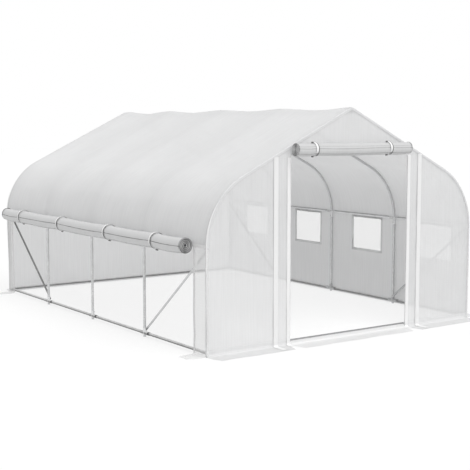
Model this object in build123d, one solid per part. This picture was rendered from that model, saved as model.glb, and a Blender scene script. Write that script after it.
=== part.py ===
"""Polytunnel greenhouse: a frame of five bent tube hoops under a fitted woven cover.

Millimetres. X runs across the doorway end, Y from the doorway to the closed end, Z up.
The origin is on the ground at the middle of the tunnel.
"""
import math
import os

from build123d import *

# Overall sizes
overall_width = 3000
overall_height = 2000
overall_length = 4000
bay_count = 4
roof_pitch_degrees = 26
roof_rise = 1105

# Tubes and fittings
tube_diameter = 25
tube_sides = 8
brace_diameter = 19
fitting_wall = 1.8
fit_clearance = 0.3
socket_length = 45
eave_socket_rise = 15
bend_start_drop = 20
base_rail_height = 35
ridge_stop = 6
purlin_drop = 30
collar_length = 22
cut_overrun = 5

# Flattened brace ends
tab_width = 22
tab_thickness = 3
tab_reach = 18
tab_taper = 22
brace_foot_rise = 28
brace_head_drop = 12

# Cover
cover_thickness = 4
cover_clearance = 1.2
cover_sag = 17
sag_shares = (0, 1, 1)
corner_strip_width = 185
trim_thickness = 2

# Doorway in the front end
doorway_width = 1320
gable_height = 385
zip_gap = 5
zip_width = 35
band_gap = 155
band_width = 46

# Windows in the right side
window_width = 430
window_height = 335
window_shift = 67
window_head_drop = 35
hem_width = 25
screen_thickness = 2
flap_roll_diameter = 40
flap_roll_overhang = 20

# Rolled up side and rolled up door
roll_sides = 24
side_roll_diameter = 140
side_roll_length = 3630
side_roll_rise = -10
door_roll_diameter = 122
door_roll_length = 1280
door_roll_rise = 21
door_roll_shift = 28
tie_width = 30
tie_thickness = 2.5
side_tie_shares = (-0.373, -0.145, 0.123, 0.378)
door_tie_shares = (-0.349, 0.301)

# Ground flaps
flap_width = 165
flap_corner_taper = 40
flap_slit = 30

# Worked out from the sizes above
tube_radius = tube_diameter / 2
bore_radius = tube_radius + fit_clearance
sleeve_radius = bore_radius + fitting_wall
inner_offset = sleeve_radius + cover_clearance
outer_offset = inner_offset + cover_thickness
leg_x = overall_width / 2 - outer_offset
half_length = overall_length / 2 - outer_offset
hoop_pitch = half_length * 2 / bay_count
rail_stop = sleeve_radius + fitting_wall
eave_rail_height = overall_height - roof_rise
bend_start_height = eave_rail_height - bend_start_drop
doorway_height = overall_height - gable_height
band_spacing = doorway_width + band_gap * 2
window_sill_height = eave_rail_height - window_head_drop - window_height
side_roll_height = eave_rail_height + side_roll_rise
door_roll_height = doorway_height + door_roll_rise
pitch_sine = math.sin(math.radians(roof_pitch_degrees))
pitch_cosine = math.cos(math.radians(roof_pitch_degrees))
pitch_tangent = pitch_sine / pitch_cosine
bow_apex = overall_height - outer_offset / pitch_cosine
side_face = overall_width / 2
end_inner_face = half_length + inner_offset
end_outer_face = half_length + outer_offset
hoop_places = [hoop_pitch * index - half_length for index in range(bay_count + 1)]
hoop_names = ["front", "second", "middle", "fourth", "rear"]
sides = {"left": -1, "right": 1}


def bend_radius(apex):
    """Radius of the shoulder bend that is tangent to the leg and to the roof slope."""
    rise = apex - bend_start_height - leg_x * pitch_tangent
    return rise / (pitch_cosine - pitch_tangent + pitch_sine * pitch_tangent)


bow_radius = bend_radius(bow_apex)
bend_centre_x = leg_x - bow_radius


def bow_lean(height):
    """How far the bow leans in from the line of the leg at a height."""
    return bow_radius - math.sqrt(bow_radius ** 2 - (height - bend_start_height) ** 2)


eave_x = leg_x - bow_lean(eave_rail_height)
eave_socket_slack = bow_lean(eave_rail_height + eave_socket_rise) / 2


def bar(start, end, radius, side_count=tube_sides):
    """Many-sided bar between two points, which stands for a round tube, a bore or a roll."""
    axis = Vector(*end) - Vector(*start)
    section = Plane(origin=start, z_dir=axis) * RegularPolygon(radius, side_count)
    return extrude(section, amount=axis.length)


def block(low, high):
    """Box between two opposite corners."""
    size = Vector(*high) - Vector(*low)
    body = Box(size.X, size.Y, size.Z, align=(Align.MIN, Align.MIN, Align.MIN))
    return Pos(*low) * body


def arch_edges(offset, drop, foot, place):
    """Edges of the hoop outline, right foot to left foot, at an offset from the tube's centre line.

    The ridge is lower by drop, the feet are at the height foot, and the outline lies at y = place.
    """
    apex = bow_apex - drop
    radius = bend_radius(apex)
    centre_x = leg_x - radius
    reach = radius + offset
    turn = math.radians(90 - roof_pitch_degrees)
    ridge = (0, place, apex + offset / pitch_cosine)

    def on_bend(side, angle):
        x = centre_x + reach * math.cos(angle)
        return (side * x, place, bend_start_height + reach * math.sin(angle))

    edges = []
    for side in (1, -1):
        half = [
            ThreePointArc(on_bend(side, 0), on_bend(side, turn / 2), on_bend(side, turn)),
            Line(on_bend(side, turn), ridge),
        ]
        if foot < bend_start_height:
            half.insert(0, Line((side * (leg_x + offset), place, foot), on_bend(side, 0)))
        edges.append(half)
    right, left = edges
    return right + left[::-1]


def arch_face(offset, foot, place):
    """Flat face of the whole end outline down to the height foot."""
    span = leg_x + offset
    sill = Line((-span, place, foot), (span, place, foot))
    return Face(Wire(arch_edges(offset, 0, foot, place) + [sill]))


def cover_section(drop, place):
    """Cut across the roof cover, with the ridge lower by drop."""
    outer = arch_edges(outer_offset, drop, bend_start_height, place)
    inner = arch_edges(inner_offset, drop, bend_start_height, place)
    hems = []
    for side in (1, -1):
        low = (side * (leg_x + inner_offset), place, bend_start_height)
        high = (side * (leg_x + outer_offset), place, bend_start_height)
        hems.append(Line(low, high))
    return Face(Wire(outer + inner + hems))


def hoop_leg(place):
    """Right upright tube from the ground to the start of the bend."""
    return bar((leg_x, place, 0), (leg_x, place, bend_start_height), tube_radius)


def hoop_bow(place):
    """Right bow: a bent tube from the top of the leg to just short of the ridge."""
    section = Pos(leg_x, place, bend_start_height) * RegularPolygon(tube_radius, tube_sides)
    bend_axis = Axis((bend_centre_x, place, bend_start_height), (0, -1, 0))
    bend = revolve(section, bend_axis, revolution_arc=90 - roof_pitch_degrees)
    shoulder_x = bend_centre_x + bow_radius * pitch_sine
    shoulder = (shoulder_x, place, bend_start_height + bow_radius * pitch_cosine)
    tip = (ridge_stop * pitch_cosine, place, bow_apex - ridge_stop * pitch_sine)
    return bend + bar(shoulder, tip, tube_radius)


def rail_arms(place):
    """Directions along Y in which rails leave a hoop."""
    return [step for step in (-1, 1) if abs(place + step * hoop_pitch) < half_length + tube_radius]


def fitting(outer, bore, centre, arms):
    """Socket body with arms: outer and bore are its main sleeve, arms are unit directions."""
    hub = Vector(*centre)
    for arm in arms:
        way = Vector(*arm)
        outer += bar(hub, hub + way * (rail_stop + socket_length), sleeve_radius)
    outer -= bore
    for arm in arms:
        way = Vector(*arm)
        end = hub + way * (rail_stop + socket_length + cut_overrun)
        outer -= bar(hub + way * rail_stop, end, bore_radius)
    return outer


def eave_fitting(place):
    """Socket at a right eave: it joins leg, bow and the eave rails, with room for the bow's lean."""
    low = bend_start_height - socket_length
    high = eave_rail_height + eave_socket_rise
    x = leg_x - eave_socket_slack
    outer = bar((x, place, low), (x, place, high), sleeve_radius + eave_socket_slack)
    bore_low = (x, place, low - cut_overrun)
    bore_high = (x, place, high + cut_overrun)
    bore = bar(bore_low, bore_high, bore_radius + eave_socket_slack)
    arms = [(0, step, 0) for step in rail_arms(place)]
    return fitting(outer, bore, (eave_x, place, eave_rail_height), arms)


def base_fitting(place):
    """Socket at the foot of a right leg: it joins the leg to the base rails."""
    low = base_rail_height - rail_stop
    high = base_rail_height + socket_length
    outer = bar((leg_x, place, low), (leg_x, place, high), sleeve_radius)
    bore = bar((leg_x, place, low - cut_overrun), (leg_x, place, high + cut_overrun), bore_radius)
    arms = [(0, step, 0) for step in rail_arms(place)]
    if len(arms) == 1:
        arms.append((-1, 0, 0))
    return fitting(outer, bore, (leg_x, place, base_rail_height), arms)


def ridge_fitting(place):
    """Elbow that joins two bows at the ridge, with a socket under it for the purlin."""
    reach = ridge_stop + socket_length
    halves = []
    for radius, start, end in (
        (sleeve_radius, -sleeve_radius, reach),
        (bore_radius, ridge_stop - fit_clearance, reach + cut_overrun),
    ):
        low = (start * pitch_cosine, place, bow_apex - start * pitch_sine)
        high = (end * pitch_cosine, place, bow_apex - end * pitch_sine)
        halves.append(bar(low, high, radius))
    room = reach + cut_overrun
    right_half = block((0, place - room, bow_apex - room), (room, place + room, bow_apex + room))
    outer = halves[0] & right_half
    outer += mirror(outer, Plane.YZ)
    bore = halves[1] + mirror(halves[1], Plane.YZ)
    hub = Vector(0, place, bow_apex - purlin_drop)
    for step in rail_arms(place):
        way = Vector(0, step, 0)
        back = hub - way * sleeve_radius
        outer += bar(back, hub + way * (rail_stop + socket_length), sleeve_radius)
    outer -= bore
    for step in rail_arms(place):
        way = Vector(0, step, 0)
        end = hub + way * (rail_stop + socket_length + cut_overrun)
        outer -= bar(hub + way * rail_stop, end, bore_radius)
    return outer


def rails_along(x, z):
    """Rails from hoop to hoop along the tunnel."""
    spans = []
    for start, end in zip(hoop_places, hoop_places[1:]):
        inset = rail_stop + fit_clearance
        spans.append(bar((x, start + inset, z), (x, end - inset, z), tube_radius))
    return spans


def end_rail(place):
    """Base rail across one end of the tunnel."""
    reach = leg_x - rail_stop - fit_clearance
    return bar((-reach, place, base_rail_height), (reach, place, base_rail_height), tube_radius)


def rail_collar(place):
    """Plastic collar where a right base rail enters the socket behind it."""
    back = place - rail_stop - socket_length
    front = back - collar_length
    ring = bar((leg_x, front, base_rail_height), (leg_x, back, base_rail_height), sleeve_radius)
    hole_front = (leg_x, front - cut_overrun, base_rail_height)
    hole_back = (leg_x, back + cut_overrun, base_rail_height)
    return ring - bar(hole_front, hole_back, bore_radius)


def tube_section(origin, way, half_thickness, half_width):
    """Cut across a tube that is pressed to a thickness along X and a width across it."""
    plane = Plane(origin=origin, x_dir=(1, 0, 0), z_dir=way)
    points = []
    for corner in range(tube_sides):
        angle = math.tau * corner / tube_sides
        points.append(plane.from_local_coords(
            (half_thickness * math.cos(angle), half_width * math.sin(angle), 0)))
    return Face(Wire(Polyline(*points, close=True).edges()))


def brace(foot_place, head_place):
    """Right diagonal tube with pressed ends that lie on the inner faces of two sockets."""
    half = tab_thickness / 2
    radius = brace_diameter / 2
    x = leg_x - eave_socket_slack * 2 - sleeve_radius - fit_clearance - half
    foot = Vector(x, foot_place, base_rail_height + brace_foot_rise)
    head = Vector(x, head_place, bend_start_height - brace_head_drop)
    way = (head - foot).normalized()
    inset = tab_reach + tab_taper
    body = loft([tube_section(foot + way * inset, way, radius, radius),
                 tube_section(head - way * inset, way, radius, radius)], ruled=True)
    for origin, inward in ((foot, way), (head, way * -1)):
        plate = Plane(origin=origin, x_dir=inward, z_dir=(1, 0, 0))
        tab = Rectangle(tab_reach, tab_width, align=(Align.MIN, Align.CENTER))
        tab += RegularPolygon(tab_width / 2, tube_sides)
        body += extrude(plate * tab, half, both=True)
        body += loft([tube_section(origin + inward * tab_reach, inward, half, tab_width / 2),
                      tube_section(origin + inward * inset, inward, radius, radius)], ruled=True)
    return body


def door_post(side):
    """Upright beside the doorway, coped to the base rail and to the front bow."""
    x = side * band_spacing / 2
    place = -half_length
    top = bow_apex - abs(x) * pitch_tangent
    post = bar((x, place, base_rail_height), (x, place, top), tube_radius)
    reach = tube_diameter * 2
    rail = bar((x - reach, place, base_rail_height), (x + reach, place, base_rail_height), bore_radius)
    slope = reach * pitch_tangent
    bow = bar((x - side * reach, place, top + slope), (x + side * reach, place, top - slope), bore_radius)
    room = block((x - reach, place - reach, 0), (x + reach, place + reach, top))
    return ((post - rail - bow) & room).solids().sort_by(Axis.Z)[-1]


def end_cover(place, thickness):
    """Flat end of the cover, extruded towards +Y from y = place."""
    return extrude(arch_face(outer_offset, 0, place), amount=thickness, dir=(0, 1, 0))


def roof_cover():
    """Arched cover from eave to eave, which sags between the hoops."""
    step = hoop_pitch / len(sag_shares)
    sections = [cover_section(0, -end_inner_face)]
    for start in hoop_places[:-1]:
        for index, share in enumerate(sag_shares):
            sections.append(cover_section(share * cover_sag, start + step * index))
    sections.append(cover_section(0, half_length))
    sections.append(cover_section(0, end_inner_face))
    return loft(sections, ruled=True)


def window_places():
    """Middle of each window, a little nearer the doorway than the middle of its bay."""
    return [place + hoop_pitch / 2 - window_shift for place in hoop_places[:-1]]


def window_block(place, grow, low_x, high_x):
    """Block of a window's size, larger by grow on each edge, between two X planes."""
    half = window_width / 2 + grow
    low = (low_x, place - half, window_sill_height - grow)
    high = (high_x, place + half, window_sill_height + window_height + grow)
    return block(low, high)


def side_cover():
    """Right side of the cover from the ground to the eave, with its windows cut through."""
    inner_face = side_face - cover_thickness
    wall = block((inner_face, -end_inner_face, 0), (side_face, end_inner_face, bend_start_height))
    for place in window_places():
        wall -= window_block(place, 0, inner_face - cut_overrun, side_face + cut_overrun)
    return wall


def corner_strip(end):
    """Narrow fixed strip of the left side beside one end of the tunnel."""
    near = end * (end_inner_face - corner_strip_width)
    far = end * end_inner_face
    low = (-side_face, min(near, far), 0)
    high = (cover_thickness - side_face, max(near, far), bend_start_height)
    return block(low, high)


def roll_tie(centre, along, radius):
    """Band tied round a roll: along is the direction of the roll."""
    start = Vector(*centre) - Vector(*along) * (tie_width / 2)
    end = Vector(*centre) + Vector(*along) * (tie_width / 2)
    longer = Vector(*along) * cut_overrun
    outer = bar(start, end, radius + fit_clearance + tie_thickness, roll_sides)
    return outer - bar(start - longer, end + longer, radius + fit_clearance, roll_sides)


def ground_flap(inner_start, inner_end, outward, inset):
    """Ground flap from an inner edge: its outer corners are cut back.

    Args are points on the ground, the unit outward direction, and how far the edge lies inwards.
    """
    start = Vector(*inner_start)
    end = Vector(*inner_end)
    way = (end - start).normalized() * flap_corner_taper
    out = Vector(*outward)
    points = [
        start - out * inset,
        start,
        start + out * flap_width + way,
        end + out * flap_width - way,
        end,
        end - out * inset,
    ]
    if inset == 0:
        points = points[1:5]
    outline = Polyline(*points, close=True)
    return extrude(Face(Wire(outline.edges())), amount=cover_thickness, dir=(0, 0, 1))


def front_trim(low_x, high_x, low_z, high_z):
    """Flat strip on the outside of the front end, cut off at the roof outline."""
    strip = end_cover(-end_outer_face - trim_thickness, trim_thickness)
    face = -end_outer_face
    return strip & block((low_x, face - trim_thickness, low_z), (high_x, face, high_z))


def write(name, solids):
    """Write one node from its list of solids."""
    shape = solids[0] if len(solids) == 1 else Compound(children=list(solids))
    export_step(shape, f"parts/{name}.step")


def whole(shape):
    """The single solid of a shape."""
    return shape.solids()[0]


def both_sides(pieces):
    """Solids of the right pieces and of their mirror images on the left."""
    return [whole(piece) for piece in pieces] + [whole(mirror(piece, Plane.YZ)) for piece in pieces]


os.makedirs("parts", exist_ok=True)

# Hoops
for name, place in zip(hoop_names, hoop_places):
    leg = hoop_leg(place)
    bow = hoop_bow(place)
    write(f"{name}_hoop_legs", both_sides([leg]))
    write(f"{name}_hoop_bows", both_sides([bow]))

# Fittings and rails
write("ridge_fittings", [whole(ridge_fitting(place)) for place in hoop_places])
write("ridge_purlin", [whole(rail) for rail in rails_along(0, bow_apex - purlin_drop)])
brace_ends = [(hoop_places[1], hoop_places[0]), (hoop_places[-2], hoop_places[-1])]
side_frame = {
    "eave_fittings": [eave_fitting(place) for place in hoop_places],
    "eave_rail": rails_along(eave_x, eave_rail_height),
    "base_fittings": [base_fitting(place) for place in hoop_places],
    "base_rail": rails_along(leg_x, base_rail_height),
    "rail_collars": [rail_collar(place) for place in hoop_places[1:]],
    "braces": [brace(foot, head) for foot, head in brace_ends],
}
for name, pieces in side_frame.items():
    write(f"right_{name}", [whole(piece) for piece in pieces])
    write(f"left_{name}", [whole(mirror(piece, Plane.YZ)) for piece in pieces])
write("front_base_rail", [whole(end_rail(-half_length))])
write("rear_base_rail", [whole(end_rail(half_length))])
write("door_posts", [door_post(side) for side in sides.values()])

# Cover
write("roof_cover", [whole(roof_cover())])
write("right_side_cover", [whole(side_cover())])
write("left_front_strip", [whole(corner_strip(-1))])
write("left_rear_strip", [whole(corner_strip(1))])
write("rear_end_cover", [whole(end_cover(end_inner_face, cover_thickness))])
front_end = end_cover(-end_outer_face, cover_thickness)
for name, side in sides.items():
    near = side * doorway_width / 2
    far = side * overall_width
    low = (min(near, far), -end_outer_face - cut_overrun, 0)
    high = (max(near, far), -end_inner_face + cut_overrun, doorway_height)
    write(f"front_{name}_panel", [whole(front_end & block(low, high))])
gable_low = (-overall_width, -end_outer_face - cut_overrun, doorway_height)
gable_high = (overall_width, -end_inner_face + cut_overrun, overall_height)
write("front_gable_panel", [whole(front_end & block(gable_low, gable_high))])

# Trim beside the doorway
zips = []
bands = []
for side in sides.values():
    near = side * (doorway_width / 2 + zip_gap)
    far = near + side * zip_width
    top = door_roll_height - door_roll_diameter / 2 - tie_thickness
    zips.append(whole(front_trim(min(near, far), max(near, far), cover_thickness, top)))
    middle = side * band_spacing / 2
    half = band_width / 2
    bands.append(whole(front_trim(middle - half, middle + half, cover_thickness, overall_height)))
write("door_zips", zips)
write("door_bands", bands)

# Windows
screens = []
hems = []
flap_rolls = []
screen_face = side_face - (cover_thickness - screen_thickness) / 2
hem_face = side_face + trim_thickness
flap_roll_x = hem_face + fit_clearance + flap_roll_diameter / 2
flap_roll_z = window_sill_height + window_height + hem_width / 2
for place in window_places():
    screens.append(whole(window_block(place, 0, screen_face - screen_thickness, screen_face)))
    frame = window_block(place, hem_width, side_face, hem_face)
    frame -= window_block(place, 0, side_face - cut_overrun, hem_face + cut_overrun)
    hems.append(whole(frame))
    reach = window_width / 2 + flap_roll_overhang
    start = (flap_roll_x, place - reach, flap_roll_z)
    end = (flap_roll_x, place + reach, flap_roll_z)
    flap_rolls.append(whole(bar(start, end, flap_roll_diameter / 2)))
write("window_screens", screens)
write("window_hems", hems)
write("window_flap_rolls", flap_rolls)

# Rolled up side, tied under the left eave
side_roll_radius = side_roll_diameter / 2
tie_space = tie_thickness + fit_clearance * 2
side_roll_reach = bow_radius + outer_offset + tie_space + side_roll_radius
side_roll_x = -bend_centre_x - math.sqrt(side_roll_reach ** 2 - (side_roll_height - bend_start_height) ** 2)
half_roll = side_roll_length / 2
roll_start = (side_roll_x, -half_roll, side_roll_height)
roll_end = (side_roll_x, half_roll, side_roll_height)
write("side_roll", [whole(bar(roll_start, roll_end, side_roll_radius, roll_sides))])
side_ties = []
for share in side_tie_shares:
    centre = (side_roll_x, share * side_roll_length, side_roll_height)
    side_ties.append(whole(roll_tie(centre, (0, 1, 0), side_roll_radius)))
write("side_roll_ties", side_ties)

# Rolled up door, tied over the doorway
door_roll_radius = door_roll_diameter / 2
door_roll_y = -end_outer_face - tie_space - door_roll_radius
half_roll = door_roll_length / 2
roll_start = (-half_roll - door_roll_shift, door_roll_y, door_roll_height)
roll_end = (half_roll - door_roll_shift, door_roll_y, door_roll_height)
write("door_roll", [whole(bar(roll_start, roll_end, door_roll_radius, roll_sides))])
door_ties = []
for share in door_tie_shares:
    centre = (share * door_roll_length - door_roll_shift, door_roll_y, door_roll_height)
    door_ties.append(whole(roll_tie(centre, (1, 0, 0), door_roll_radius)))
write("door_roll_ties", door_ties)

# Ground flaps
front_pieces = []
door_half = doorway_width / 2
front_edge = -end_outer_face
for side in sides.values():
    near = (side * (door_half + flap_slit), front_edge, 0)
    far = (side * side_face, front_edge, 0)
    front_pieces.append(whole(ground_flap(near, far, (0, -1, 0), 0)))
door_start = (-door_half, front_edge, 0)
door_end = (door_half, front_edge, 0)
front_pieces.append(whole(ground_flap(door_start, door_end, (0, -1, 0), cover_thickness)))
write("front_ground_flaps", front_pieces)
rear_start = (-side_face, end_outer_face, 0)
rear_end = (side_face, end_outer_face, 0)
write("rear_ground_flap", [whole(ground_flap(rear_start, rear_end, (0, 1, 0), 0))])
right_start = (side_face, -end_inner_face, 0)
right_end = (side_face, end_inner_face, 0)
write("right_ground_flap", [whole(ground_flap(right_start, right_end, (1, 0, 0), 0))])
corner_flaps = []
for end in (-1, 1):
    near = (-side_face, end * (end_inner_face - corner_strip_width), 0)
    far = (-side_face, end * end_inner_face, 0)
    corner_flaps.append(whole(ground_flap(near, far, (-1, 0, 0), 0)))
write("left_corner_flaps", corner_flaps)
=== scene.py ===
"""Looks of a polytunnel greenhouse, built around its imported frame.

Metres. X runs across the doorway end, Y from the doorway to the closed end, Z up.
"""
import logging
import math
import random
from contextlib import contextmanager
from dataclasses import dataclass
from enum import Enum
from typing import Callable, Iterator, Sequence

import bmesh
import bpy
import numpy as np
from mathutils import Matrix, Vector


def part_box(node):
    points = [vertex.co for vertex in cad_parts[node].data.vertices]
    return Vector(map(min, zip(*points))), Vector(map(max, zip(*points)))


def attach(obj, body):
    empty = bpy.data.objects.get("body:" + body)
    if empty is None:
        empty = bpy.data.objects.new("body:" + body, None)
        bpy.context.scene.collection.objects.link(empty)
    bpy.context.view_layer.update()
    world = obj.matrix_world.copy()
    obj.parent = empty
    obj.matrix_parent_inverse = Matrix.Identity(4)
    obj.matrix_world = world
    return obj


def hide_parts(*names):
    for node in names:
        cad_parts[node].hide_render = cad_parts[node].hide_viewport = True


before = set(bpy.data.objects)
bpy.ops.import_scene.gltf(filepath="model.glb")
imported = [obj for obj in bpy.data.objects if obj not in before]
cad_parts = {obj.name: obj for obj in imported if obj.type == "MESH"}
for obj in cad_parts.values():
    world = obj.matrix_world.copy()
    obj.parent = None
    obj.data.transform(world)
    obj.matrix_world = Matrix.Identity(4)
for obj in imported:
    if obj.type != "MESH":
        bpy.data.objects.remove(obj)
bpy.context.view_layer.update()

Piece = bpy.types.Object
Socket = bpy.types.NodeSocket
Material = bpy.types.Material
Grid = np.ndarray
Triple = tuple[float, float, float]
Colour = Triple

log = logging.getLogger("polytunnel")
WEAVE = "weave"
HOOP_NAMES = ("front", "second", "middle", "fourth", "rear")
UP = Vector((0, 0, 1))
WHITE = (1, 1, 1, 1)
TAPE_FLAT = 0.55
TAPE_CROWN = 0.35


class Slot(Enum):
    """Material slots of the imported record."""

    TUBE = "galvanised_tube"
    FITTING = "fitting_steel"
    COVER = "woven_cover"
    WEBBING = "white_webbing"
    MESH = "window_mesh"
    PLASTIC = "black_plastic"


class Named(Enum):
    """A choice whose name stands in the names of nodes and pieces."""

    @property
    def word(self) -> str:
        """The name in lower case."""
        return self.name.lower()


class Side(Named):
    """The two long sides, as the sign of X."""

    LEFT = -1
    RIGHT = 1


class End(Named):
    """The two ends, as the sign of Y."""

    FRONT = -1
    REAR = 1


class Level(Named):
    """The two levels of rails along the sides."""

    EAVE = 1
    BASE = 0


# Finishes


def neutral(level: float) -> Colour:
    """Plain grey."""
    return level, level, level


def sheet_grey(level: float) -> Colour:
    """Faintly cool grey of the cover."""
    return level, level + 0.002, level + 0.005


def steel_grey(level: float) -> Colour:
    """Cool grey of galvanised steel."""
    return level, level + 0.005, level + 0.01


class Shader:
    """Node tree of a material or of the world, with short calls that add and link nodes."""

    def __init__(self, owner: Material | bpy.types.World) -> None:
        """Empty the node tree of its owner.

        Args:
            owner: Material or world that has the nodes.
        """
        owner.use_nodes = True
        self.owner = owner
        self.tree = owner.node_tree
        self.tree.nodes.clear()

    def put(self, socket: Socket, value: object) -> None:
        """Link a socket to another one, or set its value.

        Args:
            socket: Input to set.
            value: Output socket, number or colour.
        """
        if isinstance(value, Socket):
            self.tree.links.new(value, socket)
        else:
            socket.default_value = value

    def node(self, kind: str, settings: dict | None = None, **inputs: object) -> bpy.types.Node:
        """Add a node.

        Args:
            kind: Node type without its ShaderNode prefix.
            settings: Properties of the node.
            inputs: Values or sockets by input name, with _ for a space.

        Returns:
            The new node.
        """
        made = self.tree.nodes.new(f"ShaderNode{kind}")
        for key, value in (settings or {}).items():
            setattr(made, key, value)
        for key, value in inputs.items():
            self.put(made.inputs[key.replace("_", " ")], value)
        return made

    def ordered(self, kind: str, values: Sequence[object], settings: dict | None = None) -> Socket:
        """Add a node whose inputs are filled in order.

        Args:
            kind: Node type without its ShaderNode prefix.
            values: Values or sockets of its first inputs.
            settings: Properties of the node.

        Returns:
            Its output socket.
        """
        made = self.node(kind, settings)
        for socket, value in zip(made.inputs, values):
            self.put(socket, value)
        return made.outputs[0]

    def math(self, operation: str, first: object, second: object = 0.0) -> Socket:
        """Result of a Math node, by Blender's name of the operation."""
        return self.ordered("Math", (first, second), {"operation": operation})

    def ramp(self, value: Socket, low: float, high: float, start: float = 0.0, stop: float = 1.0) -> Socket:
        """Value mapped from low and high to start and stop, clamped at both ends."""
        made = self.node("MapRange", Value=value, From_Min=low, From_Max=high, To_Min=start, To_Max=stop)
        return made.outputs[0]

    def weave(self) -> tuple[Socket, Socket, Socket]:
        """Coordinates in metres along the piece's own weave map: the vector, its X and its Y.

        Returns:
            The vector, its X and its Y.
        """
        vector = self.node("UVMap", {"uv_map": WEAVE}).outputs[0]
        parts = self.node("SeparateXYZ", Vector=vector)
        return vector, parts.outputs[0], parts.outputs[1]

    def place(self) -> Socket:
        """Object coordinates, in metres."""
        return self.node("TexCoord").outputs["Object"]

    def lines(self, coordinate: Socket, pitch: float, share: float) -> Socket:
        """Mask of evenly spaced soft lines.

        Args:
            coordinate: Coordinate across the lines.
            pitch: Distance between lines.
            share: Width of a line as a share of the pitch.

        Returns:
            Socket that is 1 on a line and 0 between lines.
        """
        saw = self.math("FRACT", self.math("DIVIDE", coordinate, pitch))
        off = self.math("ABSOLUTE", self.math("SUBTRACT", saw, 0.5))
        return self.ramp(off, 0.5 - share / 2, 0.5)

    def noise(self, vector: Socket, scale: float, stretch: Triple = (1, 1, 1),
              detail: float = 2.0) -> Socket:
        """Smooth noise from 0 to 1, by its features per metre and the stretch of each axis."""
        moved = self.node("Mapping", Vector=vector, Scale=stretch).outputs[0]
        return self.node("TexNoise", Vector=moved, Scale=scale, Detail=detail).outputs[0]

    def sum_of(self, first: Socket, share: float, second: Socket, other: float) -> Socket:
        """Sum of two values, each times its share."""
        return self.math("ADD", self.math("MULTIPLY", first, share), self.math("MULTIPLY", second, other))

    def upward(self, low: float) -> Socket:
        """Mask of faces that look up, 0 where the Z of the normal is low."""
        normals = self.node("NewGeometry").outputs["Normal"]
        return self.ramp(self.node("SeparateXYZ", Vector=normals).outputs[2], low, low + 1.1)

    def blend(self, share: object, first: Colour | Socket, second: Colour | Socket) -> Socket:
        """Mix of two colours.

        Args:
            share: Share of the second colour.
            first: First colour, red, green and blue, or a socket.
            second: Second colour.

        Returns:
            The colour socket.
        """
        made = self.node("Mix", {"data_type": "RGBA"})
        self.put(made.inputs[0], share)
        for index, colour in ((6, first), (7, second)):
            self.put(made.inputs[index], colour if isinstance(colour, Socket) else (*colour, 1))
        return made.outputs[2]

    def bump(self, height: Socket, depth: float, strength: float = 1.0) -> Socket:
        """Normal bumped by a height from 0 to 1, with its real depth."""
        return self.node("Bump", Height=height, Distance=depth, Strength=strength).outputs[0]

    def mixed(self, share: object, first: Socket, second: Socket) -> Socket:
        """Mix of two shaders, by the share of the second."""
        return self.ordered("MixShader", (share, first, second))

    def cleared(self, share: object, face: Socket) -> Socket:
        """Shader of which a share is see-through."""
        return self.mixed(share, face, self.node("BsdfTransparent").outputs[0])

    def done(self, surface: Socket) -> Material:
        """Material with its surface linked."""
        self.node("OutputMaterial", Surface=surface)
        return self.owner


@dataclass(frozen=True)
class Finish:
    """A named finish."""

    name: str

    def shader(self) -> Shader:
        """Start an empty material of this name."""
        return Shader(bpy.data.materials.new(self.name))


@dataclass(frozen=True)
class CoverFinish(Finish):
    """Translucent woven sheet with heavier threads in a square grid."""

    pale: Colour = sheet_grey(0.862)
    dull: Colour = sheet_grey(0.817)
    glow_share: float = 0.255
    clear_share: float = 0.05
    # Darkening of faces that look up, and the normal Z where it starts: painted shade against the light from
    # above, partly standing for dust.
    dust: float = 0.0
    dust_from: float = -0.5
    thread_pitch: float = 0.021
    row_width: float = 0.34
    column_width: float = 0.26
    tape_pitch: float = 0.0026
    tape_width: float = 0.9
    streak: Triple = (0.35, 9, 1)
    roughness: float = 0.5

    def material(self) -> Material:
        """Build the material on the weave map.

        Returns:
            The material.
        """
        shader = self.shader()
        vector, along, across = shader.weave()
        threads = shader.math("MAXIMUM", shader.lines(along, self.thread_pitch, self.row_width),
                              shader.lines(across, self.thread_pitch, self.column_width))
        tapes = shader.math("MULTIPLY", shader.lines(along, self.tape_pitch, self.tape_width),
                            shader.lines(across, self.tape_pitch, self.tape_width))
        clouds = shader.noise(vector, 1.7, detail=4)
        streaks = shader.noise(vector, 7, self.streak)
        tone = shader.sum_of(clouds, 0.4, streaks, 0.6)
        colour = shader.blend(shader.ramp(tone, 0.36, 0.64), self.dull, self.pale)
        # Faces that look up get a darker grey: painted shade, partly standing for dust.
        if self.dust:
            grey = [level * (1 - self.dust) for level in self.dull]
            colour = shader.blend(shader.upward(self.dust_from), colour, grey)
        height = shader.math("ADD", threads, shader.math("MULTIPLY", tapes, 0.35))
        normal = shader.bump(height, 0.0004, 0.25)
        rough = shader.ramp(clouds, 0.3, 0.7, self.roughness - 0.06, self.roughness + 0.06)
        face = shader.node("BsdfPrincipled", Base_Color=colour, Roughness=rough, Normal=normal,
                           Specular_IOR_Level=0.35).outputs[0]
        if self.glow_share:
            glow = shader.node("BsdfTranslucent", Color=colour, Normal=normal).outputs[0]
            face = shader.mixed(self.glow_share, face, glow)
        if self.clear_share:
            share = shader.ramp(threads, 0, 1, self.clear_share * 1.01, self.clear_share * 0.96)
            face = shader.cleared(share, face)
        return shader.done(face)


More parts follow.
